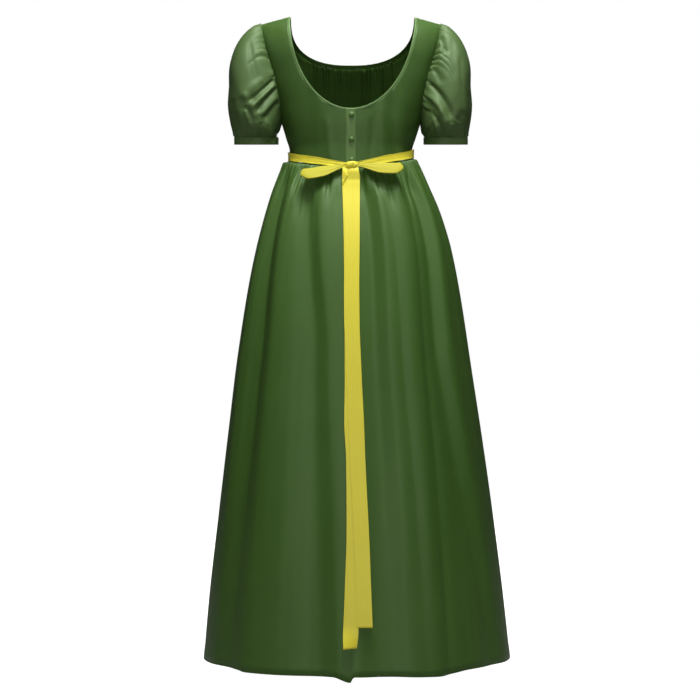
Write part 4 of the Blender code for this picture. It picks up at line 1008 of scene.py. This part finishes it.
def skirt_depth_at(x, z):
    """How far behind the middle the skirt's outside lies, near the centre of the back."""
    fall = fall_at(z)
    place = clamp((x + skirt_shift(fall)) / skirt_half_width(fall), -1.0, 1.0)
    return skirt_point(angle_on_ring(place), fall)[..., 1]


# --- ribbon ---
belt_half_height = curves(BELT_WIDTHS)[0]


def belt(surfaces):
    turns, down = grid(*MESH["belt"])
    angle = turns * 2 * PI - PI
    from_knot = np.abs(angle - PI / 2)
    up = close_at_edges(down)
    z = waist_seam(angle) + BELT_RISE + (1 + up) * belt_half_height(from_knot)
    x, y = plan(angle)
    x, y = x * bodice_half_width(z), y * np.where(y >= 0, bodice_back(z), bodice_front(z))
    crease = 0.7 * (1 - np.abs(up) ** 1.5)
    drift = 0.35 * ring_noise(turns, 9, 41)
    fold = 0.4 * np.cos((up + drift) * 5.5) * (0.25 + 0.75 * ease(1 - from_knot / 0.75)) * (1 - up**6)
    ripple = 0.25 * ring_noise(turns, 60, 42, 0, down * 2)
    away = BELT_STAND_OFF + RIBBON_CLOTH - crease + fold + ripple
    points = moved(at(x, y, z), unit(at(x, y * 1.6, 0)), away)
    points[:, -1] = points[:, 0]
    return shell("ribbon_belt", [points], level, surfaces, RIBBON_CLOTH)


def knot(surfaces):
    """The tight wrap that holds loops and tails, with creases across it."""
    turns, down = grid(*MESH["knot"])
    turn, polar = turns * 2 * PI, down * PI
    x = power(np.sin(polar), 0.8) * power(np.cos(turn), 0.9)
    y = power(np.sin(polar), 0.8) * power(np.sin(turn), 0.9)
    z = power(np.cos(polar), 0.9) + KNOT_SKEW * x
    fold = 0.07 * np.sin(x * 6 + 2.4 * z + 0.6) + 0.03 * np.sin(x * 15 - 2 * z)
    points = KNOT_CENTRE + at(x, y, z) * KNOT_RADII * (1 + fold * np.sin(polar))[..., None]
    points[:, -1] = points[:, 0]
    return solid("ribbon_knot", [points], lambda p: p - KNOT_CENTRE, surfaces)


def bow_loop(loop, surfaces):
    """The ribbon runs out from the knot, turns at the tip and comes back under itself."""
    shares, steps = grid(*MESH["loop"])
    root, tip = np.array(loop.root), np.array(loop.tip)
    length = np.linalg.norm(tip - root)
    axis = unit(tip - root)
    lean = math.radians(loop.lean)
    broad = np.array((0.0, -math.sin(lean), math.cos(lean)))
    broad = unit(broad - axis * broad.dot(axis))
    apart = np.cross(axis, broad)
    apart = apart if apart[1] > 0 else -apart
    out = (1 - np.cos(2 * PI * steps)) / 2
    swell = loop.opening * np.sin(PI * out**1.6) ** 0.8 + 1.2 * (1 - out)
    layer = np.where(steps < 0.5, 1, -1)
    half = lerp(loop.root_half, loop.belly_half, ease(out / 0.45))
    across = -close_at_edges(shares)
    look = unit(moved(moved(0, apart, layer * (1 - out**6)), axis, out**6))
    pleats = 0.6 * np.cos(across * 7 + 1.2) * (1 - ease(out / 0.55)) * (1 - across**6)
    puff = 0.8 * (1 - across**2) + pleats + 0.25 * noise(across * 2, steps * 9, 44)
    reach = length * (1 - (1 - out) ** 1.3) - LOOP_TIP_ROUND * across**2 * out**4
    middle = moved(root, axis, reach) + at(0, layer * swell, -LOOP_SAG * np.sin(PI * out))
    points = moved(moved(middle, broad, across * half), look, RIBBON_CLOTH / 2 + puff)
    centre = root + axis * length / 2

    def outward(p):
        return (p - centre) @ np.outer(apart, apart)

    return shell(loop.name, [points], outward, surfaces, RIBBON_CLOTH)


def folds_under_tails(z):
    """How far the skirt's highest fold under the tails stands out, at each height."""
    x, z_too = np.meshgrid(np.arange(-46, 22, 4), z)
    return skirt_depth_at(x, z_too).max(axis=1) - skirt_back(fall_at(z))


def depth_of_tails(z):
    """The tails hang straight from the knot, then rest on the skirt and bridge its hollows."""
    step = (SEAM_AT_BACK - HEM_LEVEL) * 0.01
    folds = np.max([folds_under_tails(z + k * step) for k in range(-2, 3)], axis=0)
    folds = np.convolve(np.pad(folds, 6, mode="edge"), np.ones(13) / 13, mode="valid")
    return np.maximum(skirt_back(fall_at(z)) + folds, KNOT_CENTRE[1] + TAIL_START)


def tail(name, rows, layer, fold_line, corner, surface):
    """One free end, with a faint crease along it and perhaps a corner turned at the top."""
    across_at, half_at, turn_at = curves(rows)
    shares, down = grid(*MESH["tail"])
    z = lerp(rows[0].z, rows[-1].z, down**1.3)
    half, turn = half_at(z), np.radians(turn_at(z))
    across = close_at_edges(shares)
    depth = depth_of_tails(z[:, 0])[:, None] + layer + 0.9 + half * np.abs(np.sin(turn))
    sideways = at(np.cos(turn), -np.sin(turn), 0)
    out = at(np.sin(turn), np.cos(turn), 0)
    wave = 0.5 * noise(across * 0.8, down * 9, 51 + layer) * ease(down / 0.06)
    inside = 1 - np.abs(z - CORNER_LEVEL) / CORNER_HALF_HEIGHT - (1 - across) / 1.25
    lift = CORNER_RISE * corner * ease(inside / 0.4) - 0.3 * bell(across - fold_line, 0.14)
    lift = lift - TAIL_TUCK * (1 - clamp((rows[0].z - z) / TAIL_TUCK_HEIGHT)) ** 2
    away = RIBBON_CLOTH + wave + lift + 0.1 * across**4
    points = moved(moved(at(across_at(z), depth, z), sideways, half * across), out, away)
    return shell(name, [points], lambda p: p * 0 + (0, 1, 0), (surface,), RIBBON_CLOTH)


# --- sewing ---
STITCH_LENGTH = 2.6
STITCH_PITCH = 3.4
STITCH_RADIUS = 0.28
STITCH_SIDES = 6
STITCH_INSET = 1.4  # from the binding's edge
CUFF_ROWS = (0.12, 0.88)  # shares of the cuff's height
BAND_ROWS = (-0.86, 0.86)  # shares of the button band's half width
# Along the stitch, its radius and its lift over the cloth, as shares of its length and radius.
STITCH_PROFILE = ((-0.5, 0.25, -0.8), (-0.3, 0.9, 0.1), (0.0, 1.0, 0.35), (0.3, 0.9, 0.1), (0.5, 0.25, -0.8))


def along_path(path, values, ahead=0.0):
    """Values of a path's points at the middle of each stitch, or that far ahead of it."""
    length = np.cumsum(np.linalg.norm(np.diff(path, axis=0, prepend=path[:1]), axis=1))
    marks = np.arange(STITCH_PITCH / 2, length[-1], STITCH_PITCH) + ahead
    return np.stack([np.interp(marks, length, column) for column in values.T], axis=-1)


def stitches(name, paths, surface):
    """Rows of thread, each stitch a small bar with sunk ends. A path is (places, outward looks)."""
    ring = np.arange(STITCH_SIDES) * 2 * PI / STITCH_SIDES
    last = (len(STITCH_PROFILE) - 1) * STITCH_SIDES
    corners, faces = [], []
    for path, looks in paths:
        run = unit(along_path(path, path, 0.5) - along_path(path, path, -0.5))
        beside_it = unit(np.cross(run, along_path(path, unit(looks))))
        for place, ahead, left, up in zip(along_path(path, path), run, beside_it, np.cross(beside_it, run)):
            base = len(corners)
            corners += [
                place
                + ahead * along * STITCH_LENGTH
                + STITCH_RADIUS * (left * np.cos(turn) * radius + up * (np.sin(turn) * radius + lift))
                for along, radius, lift in STITCH_PROFILE
                for turn in ring
            ]
            for low in range(base, base + last, STITCH_SIDES):
                for n in range(STITCH_SIDES):
                    after = (n + 1) % STITCH_SIDES
                    faces.append((low + n, low + after, low + STITCH_SIDES + after, low + STITCH_SIDES + n))
            faces.append(tuple(range(base + STITCH_SIDES - 1, base - 1, -1)))
            faces.append(tuple(range(base + last, base + last + STITCH_SIDES)))
    mesh = bpy.data.meshes.new(f"stitches_{name}")
    mesh.from_pydata((np.array(corners) * MM).tolist(), [], faces)
    return show(mesh, [surface])


def row_on(surface_at, count=400):
    """A path on a surface, from a function of share 0 to 1 and height over the cloth."""
    share = np.linspace(0, 1, count)
    low, high = surface_at(share, 0 * share), surface_at(share, 0 * share + 1)
    return low, high - low


def hem_row(facing):
    def surface_at(share, away):
        angle = facing * lerp(0.004, PI - 0.004, share)
        return skirt_point(angle, FULL_FALL - HEM_WIDTH + 0.4, away + 0.05)

    return row_on(surface_at, 1500)


def cuff_row(side, down):
    return row_on(lambda share, away: cuff_point(side, share * 2 * PI, down, away + 0.02))


def band_row(across):
    return row_on(lambda share, away: button_band_point(across, lerp(0.005, 0.985, share), away))


def neck_row(side):
    def surface_at(share, away):
        x, z = neckline(1, side, lerp(0.01, 0.96, share), BINDING_WIDTH + STITCH_INSET)
        return raised(1, bodice_at(1, side, x, z), away + 0.1)

    return row_on(surface_at)


# --- materials ---
def feed(socket, value):
    """Sets an input, or links it if the value is another node's output."""
    if isinstance(value, bpy.types.NodeSocket):
        socket.id_data.links.new(value, socket)
    else:
        socket.default_value = value


def dress(tree, inputs):
    """Sets or links inputs of the material's shader."""
    for name, value in inputs.items():
        feed(tree.nodes["Principled BSDF"].inputs[name], value)


def add(tree, kind, **inputs):
    """A node with its inputs set by name."""
    made = tree.nodes.new(kind)
    for name, value in inputs.items():
        feed(made.inputs[name.replace("_", " ")], value)
    return made


def mixed(tree, factor, low, high, blend="MIX"):
    """A colour mix."""
    made = tree.nodes.new("ShaderNodeMix")
    made.data_type = "RGBA"
    made.blend_type = blend
    for place, value in ((0, factor), (6, low), (7, high)):
        feed(made.inputs[place], value)
    return made.outputs[2]


def reckon(tree, operation, a, b):
    made = tree.nodes.new("ShaderNodeMath")
    made.operation = operation
    feed(made.inputs[0], a)
    feed(made.inputs[1], b)
    return made.outputs[0]


def between(tree, value, low, high):
    """A value from 0 to 1 brought to between low and high."""
    return add(tree, "ShaderNodeMapRange", Value=value, To_Min=low, To_Max=high).outputs[0]


GREEN_SHINE = (0.80, 1.0, 0.68)
YELLOW_SHINE = (1.0, 0.97, 0.7)
CLOTH_COLUMNS = "deep pale rough thread rib streak sheen specular shine"
Cloth = namedtuple("Cloth", CLOTH_COLUMNS, defaults=[GREEN_SHINE])
GOWN, SLEEVES, WRONG_SIDE_PAINTED_SHADE, BINDING, BAND, BUTTON, THREAD, RIBBON, BOW_PAINTED_SHADE = table(Cloth, (
    ((0.032, 0.079, 0.009), (0.042, 0.098, 0.013), 0.54, 0.0005, 0.20, 0.10, 0.00, 0.42),
    ((0.043, 0.081, 0.019), (0.054, 0.095, 0.028), 0.58, 0.0004, 0.15, 0.10, 0.00, 0.40),
    # The inside's look is painted shade: far darker than the gown's cloth, so that the gown's inside looks
    # shaded.
    ((0.008, 0.024, 0.001), (0.012, 0.032, 0.002), 0.80, 0.0005, 0.20, 0.10, 0.00, 0.12),
    ((0.070, 0.135, 0.035), (0.090, 0.165, 0.050), 0.50, 0.0005, 0.20, 0.08, 0.20, 0.45),
    ((0.066, 0.126, 0.028), (0.078, 0.146, 0.036), 0.50, 0.0005, 0.20, 0.10, 0.15, 0.45),
    ((0.042, 0.090, 0.014), (0.054, 0.110, 0.022), 0.50, 0.0004, 0.15, 0.06, 0.15, 0.50),
    ((0.050, 0.100, 0.020), (0.065, 0.120, 0.030), 0.45, 0.0004, 0.10, 0.05, 0.15, 0.50),
    ((0.580, 0.505, 0.030), (0.660, 0.585, 0.040), 0.50, 0.0004, 0.10, 0.03, 0.05, 0.40, YELLOW_SHINE),
    # The bow loops' look is the ribbon's yellow painted darker: painted shade against the light the loops
    # catch.
    ((0.340, 0.310, 0.024), (0.400, 0.370, 0.032), 0.60, 0.0004, 0.10, 0.03, 0.00, 0.12, YELLOW_SHINE),
))


def cloth(name, look, painted_light_scale=1.0):
    """Woven cloth: two thread directions in its own coordinates, streaks along the warp, soft sheen."""
    made = bpy.data.materials.new(name)
    made.use_nodes = True
    tree = made.node_tree
    flat = tree.nodes.new("ShaderNodeUVMap")
    flat.uv_map = "cloth"

    def uneven(place, scale, detail):
        return add(tree, "ShaderNodeTexNoise", Vector=place, Scale=scale, Detail=detail).outputs[0]

    def stretched(across, along):
        return add(tree, "ShaderNodeMapping", Vector=flat.outputs[0], Scale=(across, along, 1.0)).outputs[0]

    def threads(direction):
        scale = 1 / (look.thread * 6.283)
        wave = add(tree, "ShaderNodeTexWave", Vector=flat.outputs[0], Scale=scale, Distortion=0.6)
        wave.bands_direction = direction
        return wave.outputs["Fac"]

    weave = reckon(tree, "MULTIPLY", threads("X"), threads("Y"))
    streaks = uneven(stretched(260.0, 9.0), 1.0, 3.0)
    slubs = uneven(stretched(40.0, 700.0), 1.0, 2.0)
    clouds = uneven(tree.nodes.new("ShaderNodeTexCoord").outputs["Object"], 7.0, 3.0)
    # The colour scale makes lighter and darker copies of a look: painted light and painted shade.
    deep, pale = ([*(painted_light_scale * part for part in colour), 1.0] for colour in (look.deep, look.pale))
    tone = mixed(tree, between(tree, clouds, 0.0, 1.0), deep, pale)
    tone = mixed(tree, look.streak, tone, streaks, "OVERLAY")
    tone = mixed(tree, look.streak * 0.7, tone, slubs, "OVERLAY")
    tone = mixed(tree, 0.25, tone, between(tree, weave, 0.55, 1.0), "MULTIPLY")
    height = reckon(tree, "ADD", weave, reckon(tree, "MULTIPLY", slubs, 0.5))
    bump = add(tree, "ShaderNodeBump", Height=height, Strength=look.rib, Distance=0.0004)
    dress(tree, {
        "Base Color": tone,
        "Roughness": between(tree, streaks, look.rough - 0.07, look.rough + 0.07),
        "Normal": bump.outputs[0],
        "Sheen Weight": look.sheen,
        "Sheen Roughness": 0.45,
        "Sheen Tint": [*(min(1.0, 0.35 + 2.2 * part) for part in look.pale), 1.0],
        "Specular IOR Level": look.specular,
        "Specular Tint": (*look.shine, 1.0),
    })
    return made


# --- the gown ---
def build_bodice(wrong):
    # The bodice and its front neck band use the gown's look painted 0.84 times as dark: painted shade.
    bodice, binding = cloth("bodice_cloth_painted_shade", GOWN, 0.84), cloth("bias_binding", BINDING)
    for label, side in SIDES:
        bodice_panel(f"bodice_back_{label}", BACK_PANEL, (side,), (bodice, wrong))
        bound = edging(f"neck_binding_{label}", BACK_PANEL, (side,), 0.5, (binding,))
    front = bodice_panel("bodice_front", FRONT_PANEL, (-1, 1), (bodice, wrong))
    top = edging("neck_band_front", FRONT_PANEL, (-1, 1), 0.3, (bodice, wrong))
    placket = button_band((cloth("button_band_cloth", BAND),))
    covered = cloth("button_cloth", BUTTON)
    for number, height in enumerate(BUTTON_LEVELS, start=1):
        button(f"button_{number}", height, (covered,))


def build_sleeves(wrong):
    # The cuffs use the sleeves' look painted 1.3 times as bright: painted light.
    outside, cuff_painted_light = cloth("sleeve_cloth", SLEEVES), cloth("cuff_cloth_painted_light", SLEEVES, 1.3)
    for label, side in SIDES:
        puff = sleeve(f"sleeve_{label}", side, (outside, wrong))
        cuff(f"cuff_{label}", side, (cuff_painted_light, wrong))


def build_skirt(wrong):
    outside = cloth("gown_cloth", GOWN)
    back, front = (skirt_half(f"skirt_{half}", facing, (outside, wrong)) for half, facing in HALVES)
    return back


def build_ribbon(skirt_back_piece):
    ribbon, tied_painted_shade = cloth("ribbon_satin", RIBBON), cloth("ribbon_satin_bow_painted_shade", BOW_PAINTED_SHADE)
    # The belt uses the ribbon's look painted 1.2 times as bright: painted light.
    waist = belt((cloth("ribbon_satin_belt_painted_light", RIBBON, 1.2),))
    knot((ribbon,))
    for loop in LOOPS:
        bow_loop(loop, (tied_painted_shade,))
    left = tail("ribbon_tail_left", TAIL_LEFT, layer=1.2, fold_line=0.55, corner=1, surface=ribbon)
    right = tail("ribbon_tail_right", TAIL_RIGHT, layer=2.8, fold_line=0.15, corner=0, surface=ribbon)


def build_sewing():
    thread = cloth("thread", THREAD)
    for half, facing in HALVES:
        stitches(f"hem_{half}", [hem_row(facing)], thread)
    for label, side in SIDES:
        stitches(f"cuff_{label}", [cuff_row(side, down) for down in CUFF_ROWS], thread)
        stitches(f"neck_{label}", [neck_row(side)], thread)
    stitches("button_band", [band_row(across) for across in BAND_ROWS], thread)


# --- floor, light and camera ---
FLOOR_DROP = 0.03
FLOOR_HALF_SIZE = 30.0
AMBIENT = 0.025
LAMP_AIM = Vector((0.0, 0.0, -0.6))
Lamp = namedtuple("Lamp", "name place size watts")
LAMPS = table(Lamp, (
    ("key", (0.0, 4.2, -0.75), 0.8, 54.0),
    ("high", (-0.1, 1.6, 1.9), 0.9, 21.0),
    ("top", (-0.1, 0.55, 1.4), 0.7, 64.0),
    ("side_left", (1.2, 0.3, 0.3), 0.6, 1.8),
    ("side_right", (-1.2, 0.3, 0.3), 0.6, 1.8),
    ("front_softbox", (0.0, -3.4, 0.9), 2.0, 130.0),
))


def placed(name, data):
    """A new object in the scene."""
    made = bpy.data.objects.new(name, data)
    bpy.context.scene.collection.objects.link(made)
    return made


def seen_or_felt(tree, seen, felt):
    """One value for what the camera sees straight on, another for all other rays."""
    return between(tree, tree.nodes.new("ShaderNodeLightPath").outputs["Is Camera Ray"], felt, seen)


def build_floor():
    """Pale paper under the hem, which glows a little to the eye so that it meets the backdrop."""
    mesh = bpy.data.meshes.new("floor")
    half, low = FLOOR_HALF_SIZE, CAD_BOX[0][2] - FLOOR_DROP
    corners = [(x, y, low) for x, y in ((-half, -half), (half, -half), (half, half), (-half, half))]
    mesh.from_pydata(corners, [], [(0, 1, 2, 3)])
    paper = bpy.data.materials.new("floor_paper")
    paper.use_nodes = True
    dress(paper.node_tree, {
        "Base Color": (0.3, 0.3, 0.3, 1.0),
        "Roughness": 0.9,
        "Emission Color": (1.0, 1.0, 1.0, 1.0),
        "Emission Strength": seen_or_felt(paper.node_tree, 1.0, 0.0),
    })
    mesh.materials.append(paper)
    placed("floor", mesh)


def build_light():
    world = bpy.data.worlds.new("studio")
    world.use_nodes = True
    background = world.node_tree.nodes["Background"]
    feed(background.inputs["Color"], (1.0, 1.0, 1.0, 1.0))
    feed(background.inputs["Strength"], seen_or_felt(world.node_tree, 1.0, AMBIENT))
    bpy.context.scene.world = world
    bpy.context.scene.view_settings.view_transform = "Standard"
    for lamp in LAMPS:
        data = bpy.data.lights.new(lamp.name, "AREA")
        data.shape = "DISK"
        data.size = lamp.size
        data.energy = lamp.watts
        light = placed(lamp.name, data)
        light.location = lamp.place
        light.rotation_euler = (LAMP_AIM - light.location).to_track_quat("-Z", "Y").to_euler()


def build_camera():
    data = bpy.data.cameras.new("camera")
    data.lens = data.sensor_width * CAMERA_DISTANCE / (FRAME_PIXELS * METRES_PER_PIXEL)
    camera = placed("camera", data)
    camera.location = CAMERA_PLACE
    camera.rotation_euler = (PI / 2, 0.0, PI)
    bpy.context.scene.camera = camera


build_camera()
# The gown's inside, the wrong side of its cloth, gets the dark look of painted shade.
inside_painted_shade = cloth("gown_inside_painted_shade", WRONG_SIDE_PAINTED_SHADE)
build_bodice(inside_painted_shade)
build_sleeves(inside_painted_shade)
build_ribbon(build_skirt(inside_painted_shade))
build_sewing()
build_floor()
build_light()
